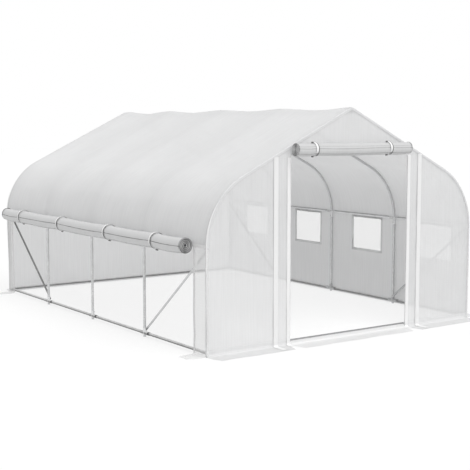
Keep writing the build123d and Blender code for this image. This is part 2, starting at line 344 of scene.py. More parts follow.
@dataclass(frozen=True)
class TapeFinish(Finish):
    """Woven tape with a ribbed face and a stitch line along each edge."""

    colour: Colour = neutral(0.975)
    shade: Colour = neutral(0.95)
    half_width: float = 0.015
    rib_pitch: float = 0.0024
    stitch_pitch: float = 0.006
    edge_gap: float = 0.0035
    glow_share: float = 0.04
    clear_share: float = 0.0

    def material(self) -> Material:
        """Build the material on the weave map, whose Y is the distance from the tape's middle.

        Returns:
            The material.
        """
        shader = self.shader()
        vector, along, across = shader.weave()
        ribs = shader.lines(along, self.rib_pitch, 0.8)
        from_middle = shader.math("ABSOLUTE", across)
        from_line = shader.math("SUBTRACT", from_middle, self.half_width - self.edge_gap)
        on_line = shader.ramp(shader.math("ABSOLUTE", from_line), 0.0005, 0.0011, 1, 0)
        stitches = shader.math("MULTIPLY", on_line, shader.lines(along, self.stitch_pitch, 0.7))
        wear = shader.noise(vector, 30, detail=4)
        tone = shader.sum_of(wear, 0.7, ribs, 0.25)
        colour = shader.blend(shader.ramp(tone, 0.25, 0.7), self.shade, self.colour)
        height = shader.math("SUBTRACT", ribs, shader.math("MULTIPLY", stitches, 1.6))
        normal = shader.bump(height, 0.0004, 0.6)
        rough = shader.ramp(wear, 0.3, 0.7, 0.55, 0.75)
        face = shader.node("BsdfPrincipled", Base_Color=colour, Roughness=rough, Normal=normal,
                           Specular_IOR_Level=0.3).outputs[0]
        glow = shader.node("BsdfTranslucent", Color=colour, Normal=normal).outputs[0]
        face = shader.mixed(self.glow_share, face, glow)
        return shader.done(shader.cleared(self.clear_share, face) if self.clear_share else face)


@dataclass(frozen=True)
class SteelFinish(Finish):
    """Galvanised steel with a faint spangle, and painted light or painted shade on the undersides where
    under is not 1.
    """

    bright: Colour
    dark: Colour
    roughness: float = 0.36
    # Factor for the colours of faces that look down: below 1 it paints shade, above 1 it paints light.
    under: float = 1.0
    under_from: float = -0.55

    def material(self) -> Material:
        """Build the material on Object coordinates.

        Returns:
            The material.
        """
        shader = self.shader()
        place = shader.place()
        flakes = shader.node("TexVoronoi", Vector=place, Scale=140.0).outputs["Color"]
        flake = shader.node("SeparateColor", Color=flakes).outputs[0]
        film = shader.noise(place, 14, detail=5)
        tone = shader.sum_of(flake, 0.35, film, 0.65)
        share = shader.ramp(tone, 0.3, 0.7)
        colour = shader.blend(share, self.dark, self.bright)
        # Faces that look down take the colours times under: painted shade below 1, painted light standing
        # for the floor's reflection above 1.
        if self.under != 1:
            below = [[level * self.under for level in metal] for metal in (self.dark, self.bright)]
            colour = shader.blend(shader.upward(self.under_from), shader.blend(share, *below), colour)
        rough = shader.ramp(tone, 0.2, 0.8, self.roughness + 0.1, self.roughness - 0.06)
        normal = shader.bump(film, 0.0004, 0.3)
        face = shader.node("BsdfPrincipled", Base_Color=colour, Metallic=0.85, Roughness=rough,
                           Normal=normal)
        return shader.done(face.outputs[0])


@dataclass(frozen=True)
class PlasticFinish(Finish):
    """Moulded plastic with a fine grain."""

    colour: Colour = (0.03, 0.03, 0.032)
    worn: Colour = (0.07, 0.07, 0.072)
    roughness: float = 0.42

    def material(self) -> Material:
        """Build the material on Object coordinates.

        Returns:
            The material.
        """
        shader = self.shader()
        place = shader.place()
        grain = shader.noise(place, 900, detail=1)
        wear = shader.noise(place, 40, detail=4)
        colour = shader.blend(shader.ramp(wear, 0.45, 0.75), self.colour, self.worn)
        rough = shader.ramp(wear, 0.3, 0.7, self.roughness, self.roughness + 0.15)
        normal = shader.bump(grain, 0.0002, 0.3)
        face = shader.node("BsdfPrincipled", Base_Color=colour, Roughness=rough, Normal=normal)
        return shader.done(face.outputs[0])


@dataclass(frozen=True)
class ScreenFinish(Finish):
    """Fine open mesh of pale threads."""

    thread: Colour = neutral(0.72)
    dusty: Colour = neutral(0.64)
    pitch: float = 0.0022
    thread_share: float = 0.3
    open_share: float = 0.86
    thread_open: float = 0.32

    def material(self) -> Material:
        """Build the material on the weave map.

        Returns:
            The material.
        """
        shader = self.shader()
        vector, along, across = shader.weave()
        threads = shader.math("MAXIMUM", shader.lines(along, self.pitch, self.thread_share),
                              shader.lines(across, self.pitch, self.thread_share))
        dust = shader.noise(vector, 22, detail=3)
        colour = shader.blend(shader.ramp(dust, 0.3, 0.7), self.dusty, self.thread)
        normal = shader.bump(threads, 0.0003, 0.5)
        face = shader.node("BsdfPrincipled", Base_Color=colour, Roughness=0.6, Normal=normal).outputs[0]
        share = shader.ramp(threads, 0, 1, self.open_share, self.thread_open)
        return shader.done(shader.cleared(share, face))


class Finishes:
    """Every finish of the tunnel, made once."""

    def __init__(self) -> None:
        """Build the materials."""
        front = (sheet_grey(0.86), sheet_grey(0.815))
        self.cover = CoverFinish("woven_cover_sheet").material()
        # A sixth value of a cover finish darkens faces that look up: painted shade on the ground flaps,
        # corner strips and rolls, partly standing for dust.
        self.front = CoverFinish("front_cover_sheet", *front, 0.25, 0.18, 0.1, 0.1).material()
        self.front_foot = CoverFinish("front_foot_sheet", *front, 0.16, 0.08).material()
        self.rear = CoverFinish("rear_cover_sheet", glow_share=0.56).material()
        self.strip = CoverFinish("corner_strip_sheet", neutral(0.99), neutral(0.97), 0.14, 0.46, 0.16,
                                 0.1).material()
        self.sill = CoverFinish("sill_flap_sheet", neutral(0.84), neutral(0.81), 0.1).material()
        self.rolled = CoverFinish("rolled_cover_sheet", sheet_grey(0.79), sheet_grey(0.73), 0, 0,
                                  0.16).material()
        self.rolled_door = CoverFinish("rolled_door_sheet", sheet_grey(0.69), sheet_grey(0.63), 0, 0,
                                       0.1).material()
        # Dark sheets for the crease lines of the rolls and for the packed layers at their ends: painted
        # shade.
        self.crease = CoverFinish("door_roll_painted_crease_shade", neutral(0.5), neutral(0.44), 0, 0).material()
        self.painted_layer_shade = CoverFinish("painted_layer_shade_sheet", neutral(0.18), neutral(0.11), 0, 0).material()
        self.hem = TapeFinish("sewn_hem", sheet_grey(0.86), sheet_grey(0.78), 0.0125, glow_share=0.55,
                              clear_share=0.8).material()
        self.inner_hem = TapeFinish("inner_hem", sheet_grey(0.84), sheet_grey(0.78), 0.0125,
                                    glow_share=0.2, clear_share=0.86).material()
        self.band = TapeFinish("doorway_band", neutral(0.89), neutral(0.86), 0.023).material()
        self.strip_hem = TapeFinish("strip_hem", neutral(0.96), neutral(0.93), 0.0125, glow_share=0.3,
                                    clear_share=0.2).material()
        self.tie = TapeFinish("roll_tie", half_width=0.01).material()
        self.zip_tape = TapeFinish("zip_tape", neutral(0.93), neutral(0.9), 0.0175, 0.0016).material()
        # Pale piping, partly a real bead and partly a painted highlight along the left shoulder.
        self.piping = TapeFinish("corner_piping", neutral(0.92), neutral(0.89), 0.02,
                                 glow_share=0.1).material()
        self.upright = SteelFinish("upright_tube", steel_grey(0.67), steel_grey(0.53), 0.17).material()
        self.rail = SteelFinish("rail_tube", steel_grey(0.54), steel_grey(0.42)).material()
        # Base rails: pale tops with painted shade underneath. Inner eave rail: dark top with painted light
        # underneath.
        self.base_rail = SteelFinish("base_rail_tube", neutral(0.92), neutral(0.76), under=0.26,
                                     under_from=-0.1).material()
        self.end_rail = SteelFinish("end_rail_tube", (0.38, 0.38, 0.385), (0.28, 0.28, 0.285)).material()
        # Paler finish of the front rail behind the panels: painted light.
        self.covered_rail = SteelFinish("covered_rail_tube", neutral(0.8), neutral(0.7)).material()
        self.inner_eave_rail = SteelFinish("inner_eave_rail_tube", steel_grey(0.54), neutral(0.43),
                                           under=1.8).material()
        # Dark finish of the rear braces: painted shade.
        self.brace = SteelFinish("painted_shade_brace", neutral(0.3), neutral(0.2)).material()
        self.bow = SteelFinish("bow_tube", steel_grey(0.67), steel_grey(0.57)).material()
        self.socket = SteelFinish("pressed_socket", steel_grey(0.58), steel_grey(0.46), 0.42).material()
        self.fitting = SteelFinish("pressed_fitting", steel_grey(0.82), steel_grey(0.7), 0.42).material()
        self.bolt = SteelFinish("zinc_bolt", (0.7, 0.7, 0.69), neutral(0.55), 0.3).material()
        # Black for the left collars and the roll cores: partly moulded plastic, partly painted shade.
        self.black = PlasticFinish("black_collar_and_painted_shade").material()
        # Mid grey finish of the right-hand collars.
        self.grey_collar = PlasticFinish("grey_collar", neutral(0.3), neutral(0.4)).material()
        self.toggle = PlasticFinish("grey_toggle", neutral(0.14), neutral(0.2)).material()
        self.zip_teeth = PlasticFinish("zip_teeth", neutral(0.8), neutral(0.88), 0.35).material()
        self.screen = ScreenFinish("window_screen").material()


# Modelling helpers


def deselect() -> None:
    """Deselect every object."""
    if bpy.context.object and bpy.context.object.mode != "OBJECT":
        bpy.ops.object.mode_set(mode="OBJECT")
    bpy.ops.object.select_all(action="DESELECT")


def choose(piece: Piece) -> None:
    """Make one piece the only selected and active one.

    Args:
        piece: Piece to select.
    """
    deselect()
    piece.select_set(True)
    bpy.context.view_layer.objects.active = piece


@contextmanager
def edit_mode(piece: Piece) -> Iterator[bmesh.types.BMesh]:
    """Edit one piece with face selection and nothing selected.

    Args:
        piece: Piece to edit.

    Returns:
        The edit mesh.
    """
    choose(piece)
    bpy.ops.object.mode_set(mode="EDIT")
    bpy.ops.mesh.select_mode(type="FACE")
    bpy.ops.mesh.select_all(action="DESELECT")
    yield bmesh.from_edit_mesh(piece.data)
    bpy.ops.object.mode_set(mode="OBJECT")


def pick_faces(piece: Piece, mesh: bmesh.types.BMesh, test: Callable[[bmesh.types.BMFace], bool]) -> None:
    """Select the faces of the edit mesh that pass a test, and no others.

    Args:
        piece: Piece in edit mode.
        mesh: Its edit mesh.
        test: Says whether a face is selected.
    """
    for face in mesh.faces:
        face.select = test(face)
    mesh.select_flush_mode()
    bmesh.update_edit_mesh(piece.data)


def add_rod(name: str, start: Sequence[float], end: Sequence[float], radius: float,
            sides: int = 24) -> Piece:
    """Add a closed round rod between two points.

    Args:
        name: Name of the piece.
        start: Middle of one end.
        end: Middle of the other end.
        radius: Radius of the rod.
        sides: Sides of its outline.

    Returns:
        The rod, with its place in its mesh.
    """
    deselect()
    axis = Vector(end) - Vector(start)
    middle = (Vector(end) + Vector(start)) / 2
    turn = axis.to_track_quat("Z", "Y").to_euler()
    bpy.ops.mesh.primitive_cylinder_add(vertices=sides, radius=radius, depth=axis.length, location=middle,
                                        rotation=turn)
    piece = bpy.context.active_object
    piece.name = name
    bpy.ops.object.transform_apply(location=True, rotation=True, scale=True)
    return piece


def hollow_ends(piece: Piece, wall: float, depth: float) -> None:
    """Sink both end faces of a rod, so that it shows a wall.

    Args:
        piece: Rod with many-sided end faces.
        wall: Thickness of the wall.
        depth: How deep the hollow goes at each end.
    """
    with edit_mode(piece) as mesh:
        pick_faces(piece, mesh, lambda face: len(face.verts) > 4)
        bpy.ops.mesh.inset(thickness=wall, depth=0, use_individual=True)
        bpy.ops.mesh.inset(thickness=wall / 50, depth=-depth, use_individual=True)


def apply_modifier(piece: Piece, kind: str, **settings: object) -> None:
    """Add a modifier, set it and apply it.

    Args:
        piece: Piece to change.
        kind: Blender's name of the modifier type.
        settings: Properties of the modifier.
    """
    choose(piece)
    bpy.ops.object.modifier_add(type=kind)
    change = piece.modifiers[-1]
    for key, value in settings.items():
        setattr(change, key, value)
    bpy.ops.object.modifier_apply(modifier=change.name)


def soften(piece: Piece, width: float, segments: int, degrees: float) -> None:
    """Bevel the edges that are sharper than an angle."""
    apply_modifier(piece, "BEVEL", width=width, segments=segments, limit_method="ANGLE",
                   angle_limit=math.radians(degrees))


def carve(piece: Piece, tool: Piece, operation: str) -> None:
    """Join a closed tool to a piece or cut it out, by UNION or DIFFERENCE, and remove the tool."""
    apply_modifier(piece, "BOOLEAN", operation=operation, object=tool, solver="EXACT")
    bpy.data.objects.remove(tool)


def smooth(piece: Piece, degrees: float = 35) -> None:
    """Shade a piece smooth except at its sharp edges."""
    choose(piece)
    bpy.ops.object.shade_smooth_by_angle(angle=math.radians(degrees))


def copy_of(piece: Piece, name: str, move: Matrix) -> Piece:
    """Copy a piece with a mesh of its own, moved by a matrix.

    Args:
        piece: Piece to copy.
        name: Name of the copy.
        move: Where the copy goes.

    Returns:
        The copy.
    """
    twin = piece.copy()
    twin.data = piece.data.copy()
    twin.name = name
    twin.data.transform(move)
    if move.determinant() < 0:
        twin.data.flip_normals()
    bpy.context.scene.collection.objects.link(twin)
    return twin


def join(pieces: Sequence[Piece], name: str) -> Piece:
    """Join pieces into one.

    Args:
        pieces: Pieces to join, the first of which stays.
        name: Name of the joined piece.

    Returns:
        The joined piece.
    """
    choose(pieces[0])
    for piece in pieces:
        piece.select_set(True)
    if len(pieces) > 1:
        bpy.ops.object.join()
    pieces[0].name = name
    pieces[0].data.name = name
    return pieces[0]


def repeat(piece: Piece, name: str, moves: Sequence[Matrix]) -> Piece:
    """Replace a model by joined copies of it.

    Args:
        piece: Model to copy, which is removed.
        name: Name of the joined copies.
        moves: Where each copy goes.

    Returns:
        The joined copies.
    """
    twins = [copy_of(piece, f"{name}_{index}", move) for index, move in enumerate(moves)]
    bpy.data.objects.remove(piece)
    return join(twins, name)


def settle(piece: Piece, slot: Slot, finish: Material | None, *nodes: str) -> Piece:
    """Finish a piece and hand it to the frame.

    Args:
        piece: Piece in its place.
        slot: Material slot of the record; not used.
        finish: Material, or None where the piece has its own.
        nodes: CAD nodes that it stands for.

    Returns:
        The piece.
    """
    if finish:
        piece.data.materials.clear()
        piece.data.materials.append(finish)
    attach(piece, "root")
    if nodes:
        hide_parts(*nodes)
    log.info("%s: %d faces", piece.name, len(piece.data.polygons))
    return piece


@dataclass(frozen=True)
class Wrinkles:
    """Shallow waves in cloth, the same on each run."""

    seed: int
    depth: float
    length: float
    heading: float = 0.0
    spread: float = math.pi
    count: int = 7

    def height(self, along: Grid, across: Grid) -> Grid:
        """Height of the waves.

        Args:
            along: First coordinate in metres.
            across: Second coordinate in metres.

        Returns:
            Heights, within about the depth each way.
        """
        draw = random.Random(self.seed)
        total = np.zeros(np.broadcast(along, across).shape)
        for _ in range(self.count):
            angle = self.heading + draw.uniform(-self.spread, self.spread) / 2
            length = self.length * draw.uniform(0.6, 1.7)
            phase = draw.uniform(0, math.tau)
            way = along * math.cos(angle) + across * math.sin(angle)
            total += np.sin(way * math.tau / length + phase) * draw.uniform(0.5, 1.0)
        return total * self.depth / math.sqrt(self.count)


class Cloth:
    """Collects grids of points into one sheet with a weave map in metres."""

    def __init__(self, name: str) -> None:
        """Start an empty sheet.

        Args:
            name: Name of the piece.
        """
        self.name = name
        self.points: list[Grid] = []
        self.weave: list[Grid] = []
        self.faces: list[Grid] = []
        self.finish: list[Grid] = []
        self.count = 0

    def lay(self, points: Grid, weave: Grid, keep: Grid | None = None, finish: int = 0) -> None:
        """Add a grid of quads.

        Args:
            points: Array of rows, columns and coordinates.
            weave: Weave coordinates of each point.
            keep: Which quads are made, all if None.
            finish: Index of their material.
        """
        rows, columns = points.shape[:2]
        index = self.count + np.arange(rows * columns).reshape(rows, columns)
        quads = np.stack([index[:-1, :-1], index[:-1, 1:], index[1:, 1:], index[1:, :-1]], -1)
        quads = quads[keep] if keep is not None else quads.reshape(-1, 4)
        self.points.append(points.reshape(-1, 3))
        self.weave.append(weave.reshape(-1, 2))
        self.faces.append(quads)
        self.finish.append(np.full(len(quads), finish))
        self.count += rows * columns

    def sew(self, finishes: Sequence[Material], weld: float = 0.0003) -> Piece:
        """Make the mesh.

        Args:
            finishes: Materials, in the order of the finish numbers.
            weld: Distance at which points of neighbouring grids are one.

        Returns:
            The sheet.
        """
        points = np.concatenate(self.points)
        weave = np.concatenate(self.weave)
        faces = np.concatenate(self.faces)
        mesh = bpy.data.meshes.new(self.name)
        mesh.from_pydata(points.tolist(), [], faces.tolist())
        layer = mesh.uv_layers.new(name=WEAVE)
        layer.data.foreach_set("uv", weave[faces.ravel()].astype(np.float32).ravel())
        mesh.polygons.foreach_set("material_index", np.concatenate(self.finish).astype(np.int32))
        for material in finishes:
            mesh.materials.append(material)
        work = bmesh.new()
        work.from_mesh(mesh)
        bmesh.ops.remove_doubles(work, verts=work.verts, dist=weld)
        loose = [vertex for vertex in work.verts if not vertex.link_faces]
        bmesh.ops.delete(work, geom=loose, context="VERTS")
        work.to_mesh(mesh)
        work.free()
        mesh.polygons.foreach_set("use_smooth", np.ones(len(mesh.polygons), bool))
        piece = bpy.data.objects.new(self.name, mesh)
        bpy.context.scene.collection.objects.link(piece)
        return piece


def steps(marks: Sequence[float], spacing: float) -> Grid:
    """Evenly divided places that include every mark.

    Args:
        marks: Places that are kept, in order.
        spacing: About how far apart the others are.

    Returns:
        The places, in order.
    """
    found = [np.array(marks[:1], float)]
    for low, high in zip(marks, marks[1:]):
        count = max(1, round(abs(high - low) / spacing))
        found.append(np.linspace(low, high, count + 1)[1:])
    return np.concatenate(found)


def grid(*parts: Grid | float) -> Grid:
    """Points or weave coordinates from their parts, stretched to one shape."""
    return np.stack(np.broadcast_arrays(*parts), -1)


def unit(rows: Grid) -> Grid:
    """Directions of the rows of an array."""
    return rows / np.linalg.norm(rows, axis=1, keepdims=True)


def run_length(path: Grid) -> Grid:
    """Distance along a path at each of its points."""
    legs = np.linalg.norm(np.diff(path, axis=0), axis=1)
    return np.concatenate([[0.0], np.cumsum(legs)])


def headings(path: Grid) -> Grid:
    """Unit direction of a path at each of its points."""
    return unit(np.gradient(path, axis=0))


def ribbon(name: str, path: Grid, facing: Grid | Triple, width: float, thickness: float,
           finish: Material) -> Piece:
    """Flat strip with a thickness and a low crown along a path.

    Args:
        name: Name of the piece.
        path: Points along the middle of its underside.
        facing: Unit direction of its face at each point.
        width: Width across the path.
        thickness: Thickness towards its face.
        finish: Its material.

    Returns:
        The closed strip.
    """
    facing = np.broadcast_to(np.array(facing, float), path.shape)
    sideways = unit(np.cross(headings(path), facing))
    half = width / 2
    flat = half * TAPE_FLAT
    edge = thickness - thickness * TAPE_CROWN
    corners = [(-half, 0), (-half, edge), (-flat, thickness), (flat, thickness), (half, edge), (half, 0),
               (-half, 0)]
    points = np.stack([path + sideways * across + facing * up for across, up in corners], 1)
    weave = np.stack([grid(run_length(path), across) for across, _ in corners], 1)
    cloth = Cloth(name)
    cloth.lay(points, weave)
    for row in (0, -1):
        cap = np.stack([points[row][:3], points[row][[5, 4, 3]]])
        cloth.lay(cap if row else cap[::-1], np.stack([weave[row][:3], weave[row][[5, 4, 3]]]))
    strip = cloth.sew([finish])
    smooth(strip)
    return strip


def bead(name: str, path: Grid, radius: Grid, finish: Material, sides: int = 8) -> Piece:
    """Round bead along a path.

    Args:
        name: Name of the piece.
        path: Points along its middle.
        radius: Radius of the bead at each point.
        finish: Its material.
        sides: Sides of its outline.

    Returns:
        The closed bead.
    """
    way = headings(path)
    aside = unit(np.cross(way, np.broadcast_to((0.0, 1.0, 0.0), path.shape)))
    lift = np.cross(aside, way)
    angles = np.linspace(0, math.tau, sides + 1)
    ring = [aside * math.cos(angle) + lift * math.sin(angle) for angle in angles]
    points = np.stack([path + part * radius[:, None] for part in ring], 1)
    weave = np.stack([grid(run_length(path), angle * radius) for angle in angles], 1)
    cloth = Cloth(name)
    cloth.lay(points[:, ::-1], weave[:, ::-1])
    for row in (0, -1):
        cap = np.stack([points[row], np.broadcast_to(path[row], points[row].shape)])
        cloth.lay(cap[::-1] if row else cap, np.stack([weave[row], weave[row]]))
    return cloth.sew([finish])


# Lines of the tunnel


@dataclass(frozen=True)
class Opening:
    """One window opening in the right side."""

    middle: float
    half: float
    sill: float
    head: float

    @property
    def front(self) -> float:
        """Y of its edge nearest the doorway."""
        return self.middle - self.half

    @property
    def rear(self) -> float:
        """Y of its far edge."""
        return self.middle + self.half


@dataclass(frozen=True)
class TunnelForm:
    """Lines of the tunnel that every piece follows, read from the frame."""

    side: float
    ridge: float
    spring: float
    end: float
    leg: float
    tube: float
    hoops: tuple[float, ...]
    pitch: float = math.radians(26)
    inset: float = 0.002
    ridge_round: float = 0.012
    sag_depth: float = 0.019

    @classmethod
    def read(cls) -> "TunnelForm":
        """Read the lines from the boxes of the CAD nodes.

        Returns:
            The lines.
        """
        low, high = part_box("roof_cover")
        leg_low, leg_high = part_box("middle_hoop_legs")
        tube = (leg_high.y - leg_low.y) / 2
        hoops = []
        for name in HOOP_NAMES:
            foot_low, foot_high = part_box(f"{name}_hoop_legs")
            hoops.append((foot_low.y + foot_high.y) / 2)
        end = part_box("rear_end_cover")[1].y
        return cls(high.x, high.z, low.z, end, leg_high.x - tube, tube, tuple(hoops))

    @property
    def skin(self) -> float:
        """Distance from a hoop's centre line to the cover."""
        return self.side - self.leg - self.inset

    @property
    def bow_apex(self) -> float:
        """Height at which the centre lines of two bows meet."""
        return self.ridge - (self.side - self.leg) / math.cos(self.pitch)

    @property
    def bay(self) -> float:
        """Distance between hoops."""
        return self.hoops[1] - self.hoops[0]

    @property
    def bay_middles(self) -> list[float]:
        """Places halfway between hoops."""
        return [place + self.bay / 2 for place in self.hoops[:-1]]

    @property
    def windows(self) -> list[Opening]:
        """Window openings along the right side, from the front."""
        low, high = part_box("window_screens")
        first = (low.y + high.y - self.bay * (len(self.hoops) - 2)) / 2
        middles = [first + self.bay * index for index in range(len(self.hoops) - 1)]
        return [Opening(middle, high.y - middles[-1], low.z, high.z) for middle in middles]

    @property
    def door_half(self) -> float:
        """Half width of the doorway."""
        return -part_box("front_left_panel")[1].x

    def bay_share(self, y: Grid) -> Grid:
        """Share of the way through a bay, 0 at hoops and past the end hoops."""
        inside = np.clip(y, self.hoops[0], self.hoops[-1])
        return ((inside - self.hoops[0]) / self.bay) % 1

    def sag(self, y: Grid) -> Grid:
        """How far the ridge of the cover dips at each place along the tunnel."""
        return self.sag_depth * np.sin(np.pi * self.bay_share(y)) ** 1.7

    def bend(self, drop: Grid | float = 0.0) -> Grid | float:
        """Radius of the shoulder bend at the tube's centre line, with the ridge lower by drop.

        Args:
            drop: How much lower the ridge is.

        Returns:
            The radius.
        """
        slope = math.tan(self.pitch)
        rise = self.bow_apex - drop - self.spring - self.leg * slope
        return rise / (math.cos(self.pitch) - slope + math.sin(self.pitch) * slope)

    def arch(self, travel: Grid, offset: Grid, drop: Grid | float = 0.0) -> tuple[Grid, Grid]:
        """Right half of the outline.

        Args:
            travel: Share of the way from the eave, 0, to the ridge, 1.
            offset: Distance from the centre line of the tube.
            drop: How much lower the ridge is.

        Returns:
            X and Z at each place.
        """
        radius = self.bend(drop)
        centre = self.leg - radius
        reach = radius + offset
        turn = math.pi / 2 - self.pitch
        straight = (centre + reach * math.sin(self.pitch)) / math.cos(self.pitch)
        way = travel * (reach * turn + straight)
        angle = np.minimum(way / reach, turn)
        run = np.maximum(way - reach * turn, 0)
        x = centre + reach * np.cos(angle) - run * math.cos(self.pitch)
        z = self.spring + reach * np.sin(angle) + run * math.sin(self.pitch)
        soften = np.sqrt(x ** 2 + self.ridge_round ** 2) - np.abs(x)
        return x, z - soften * math.tan(self.pitch)

    def half_span(self, z: Grid, offset: float) -> Grid:
        """Half width of the outline at a height, at an offset from the tube's centre line.

        Args:
            z: Heights.
            offset: Distance from the centre line of the tube.

        Returns:
            Half widths.
        """
        radius = self.bend()
        reach = radius + offset
        rise = np.maximum(np.asarray(z, float) - self.spring, 0)
        on_bend = self.leg - radius + np.sqrt(np.maximum(reach ** 2 - rise ** 2, 0))
        apex = self.bow_apex + offset / math.cos(self.pitch)
        on_slope = (apex - z) / math.tan(self.pitch)
        return np.where(rise < reach * math.cos(self.pitch), on_bend, on_slope)

    def half_length(self, offset: float) -> float:
        """Length of the roof outline from eave to ridge.

        Args:
            offset: Distance from the centre line of the tube.

        Returns:
            The length.
        """
        radius = self.bend() + offset
        centre = self.leg - self.bend()
        straight = (centre + radius * math.sin(self.pitch)) / math.cos(self.pitch)
        return radius * (math.pi / 2 - self.pitch) + straight


# The tube frame


@dataclass
class Assembly:
    """A sub-assembly that follows the lines of the tunnel."""

    form: TunnelForm
    finishes: Finishes


@dataclass
class TubeFrame(Assembly):
    """Hoops, rails, purlin, braces and door posts."""

    wall: float = 0.0012
    hollow: float = 0.02
    sides: int = 20
    bend_steps: int = 18
    ridge_stop: float = 0.006
    rail_gap: float = 0.0167
    brace_radius: float = 0.0095
    tab_half: float = 0.011
    tab_thin: float = 0.0016
    tab_length: float = 0.018
    press_length: float = 0.045
    tab_rim: float = 0.0008
    post_gap: float = 0.6

    def build(self) -> list[Piece]:
        """Build every tube of the frame.

        Returns:
            The pieces.
        """
        made = []
        for name, place in zip(HOOP_NAMES, self.form.hoops):
            made.append(self.legs(name, place))
            made.append(self.bows(name, place))
        made += self.rails()
        made += [self.braces(side) for side in Side]
        made.append(self.posts())
        return made

    def both_sides(self, piece: Piece, name: str, place: float = 0.0) -> Piece:
        """Copy a right-hand model to both sides at a place along the tunnel.

        Args:
            piece: Right-hand model.
            name: Name of the joined copies.
            place: Y of the copies.

        Returns:
            The piece.
        """
        move = Matrix.Translation((0, place, 0))
        flip = Matrix.Diagonal((-1, 1, 1, 1))
        return repeat(piece, name, [move, move @ flip])

    def legs(self, name: str, place: float) -> Piece:
        """Two upright tubes of one hoop.

        Args:
            name: Name of the hoop.
            place: Y of the hoop.

        Returns:
            The piece.
        """
        form = self.form
        leg = add_rod("leg_model", (form.leg, 0, 0), (form.leg, 0, form.spring), form.tube, self.sides)
        hollow_ends(leg, self.wall, self.hollow)
        pair = self.both_sides(leg, f"{name}_legs", place)
        smooth(pair)
        return settle(pair, Slot.TUBE, self.finishes.upright, f"{name}_hoop_legs")

    def bows(self, name: str, place: float) -> Piece:
        """Two bent tubes of one hoop, from the legs to the ridge.

        Args:
            name: Name of the hoop.
            place: Y of the hoop.

        Returns:
            The piece.
        """
        form = self.form
        deselect()
        bpy.ops.mesh.primitive_circle_add(vertices=self.sides, radius=form.tube, fill_type="NGON",
                                          location=(form.leg, 0, form.spring))
        bow = bpy.context.active_object
        bpy.ops.object.transform_apply(location=True, rotation=True, scale=True)
        radius = form.bend()
        turn = math.pi / 2 - form.pitch
        run = (form.leg - radius + radius * math.sin(form.pitch)) / math.cos(form.pitch) - self.ridge_stop
        slope = Vector((-math.cos(form.pitch), 0, math.sin(form.pitch))) * run
        with edit_mode(bow) as mesh:
            pick_faces(bow, mesh, lambda face: True)
            bpy.ops.mesh.spin(steps=self.bend_steps, angle=turn, center=(form.leg - radius, 0, form.spring),
                              axis=(0, 1, 0))
            bpy.ops.mesh.extrude_region_move(TRANSFORM_OT_translate={"value": slope})
            bpy.ops.mesh.select_all(action="SELECT")
            bpy.ops.mesh.remove_doubles(threshold=0.00001)
            bpy.ops.mesh.normals_make_consistent(inside=False)
        pair = self.both_sides(bow, f"{name}_bows", place)
        smooth(pair, 50)
        return settle(pair, Slot.TUBE, self.finishes.bow, f"{name}_hoop_bows")

    def line_of_rails(self, node: str, x: float, z: float) -> Piece:
        """Rails from hoop to hoop along the tunnel.

        Args:
            node: CAD node of the rails.
            x: X of their middle line.
            z: Its height.

        Returns:
            The piece.
        """
        form = self.form
        half = form.bay / 2 - self.rail_gap
        rail = add_rod("rail_model", (x, -half, z), (x, half, z), form.tube, self.sides)
        hollow_ends(rail, self.wall, self.hollow)
        moves = [Matrix.Translation((0, middle, 0)) for middle in form.bay_middles]
        line = repeat(rail, f"{node}_tubes", moves)
        smooth(line)
        finishes = {"left_base_rail": self.finishes.base_rail,
                    "right_base_rail": self.finishes.base_rail,
                    "right_eave_rail": self.finishes.inner_eave_rail}
        return settle(line, Slot.TUBE, finishes.get(node, self.finishes.rail), node)

    def rails(self) -> list[Piece]:
        """Purlin, eave rails, base rails and the rails across the ends.

        Returns:
            The pieces.
        """
        made = []
        nodes = ["ridge_purlin"]
        nodes += [f"{side.word}_{level.word}_rail" for level in Level for side in Side]
        for node in nodes:
            low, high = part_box(node)
            made.append(self.line_of_rails(node, (low.x + high.x) / 2, (low.z + high.z) / 2))
        for end in End:
            node = f"{end.word}_base_rail"
            low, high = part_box(node)
            middle = (low + high) / 2
            rail = add_rod(f"{node}_tube", (low.x, middle.y, middle.z), (high.x, middle.y, middle.z),
                           self.form.tube, self.sides)
            hollow_ends(rail, self.wall, self.hollow)
            is_front = end is End.FRONT
            rail.data.materials.append(self.finishes.end_rail if is_front else self.finishes.base_rail)
            if is_front:
                self.mark_covered(rail)
            smooth(rail)
            made.append(settle(rail, Slot.TUBE, None, node))
        return made

    def mark_covered(self, rail: Piece) -> None:
        """Give the parts of the front rail behind the panels a paler finish: painted light that lifts the
        shade seen through the panels.

        Args:
            rail: The front rail.
        """
        reach = self.form.door_half
        with edit_mode(rail):
            for x in (-reach, reach):
                bpy.ops.mesh.select_all(action="SELECT")
                bpy.ops.mesh.bisect(plane_co=(x, 0, 0), plane_no=(1, 0, 0))
        rail.data.materials.append(self.finishes.covered_rail)
        for face in rail.data.polygons:
            face.material_index = int(abs(face.center.x) > reach)

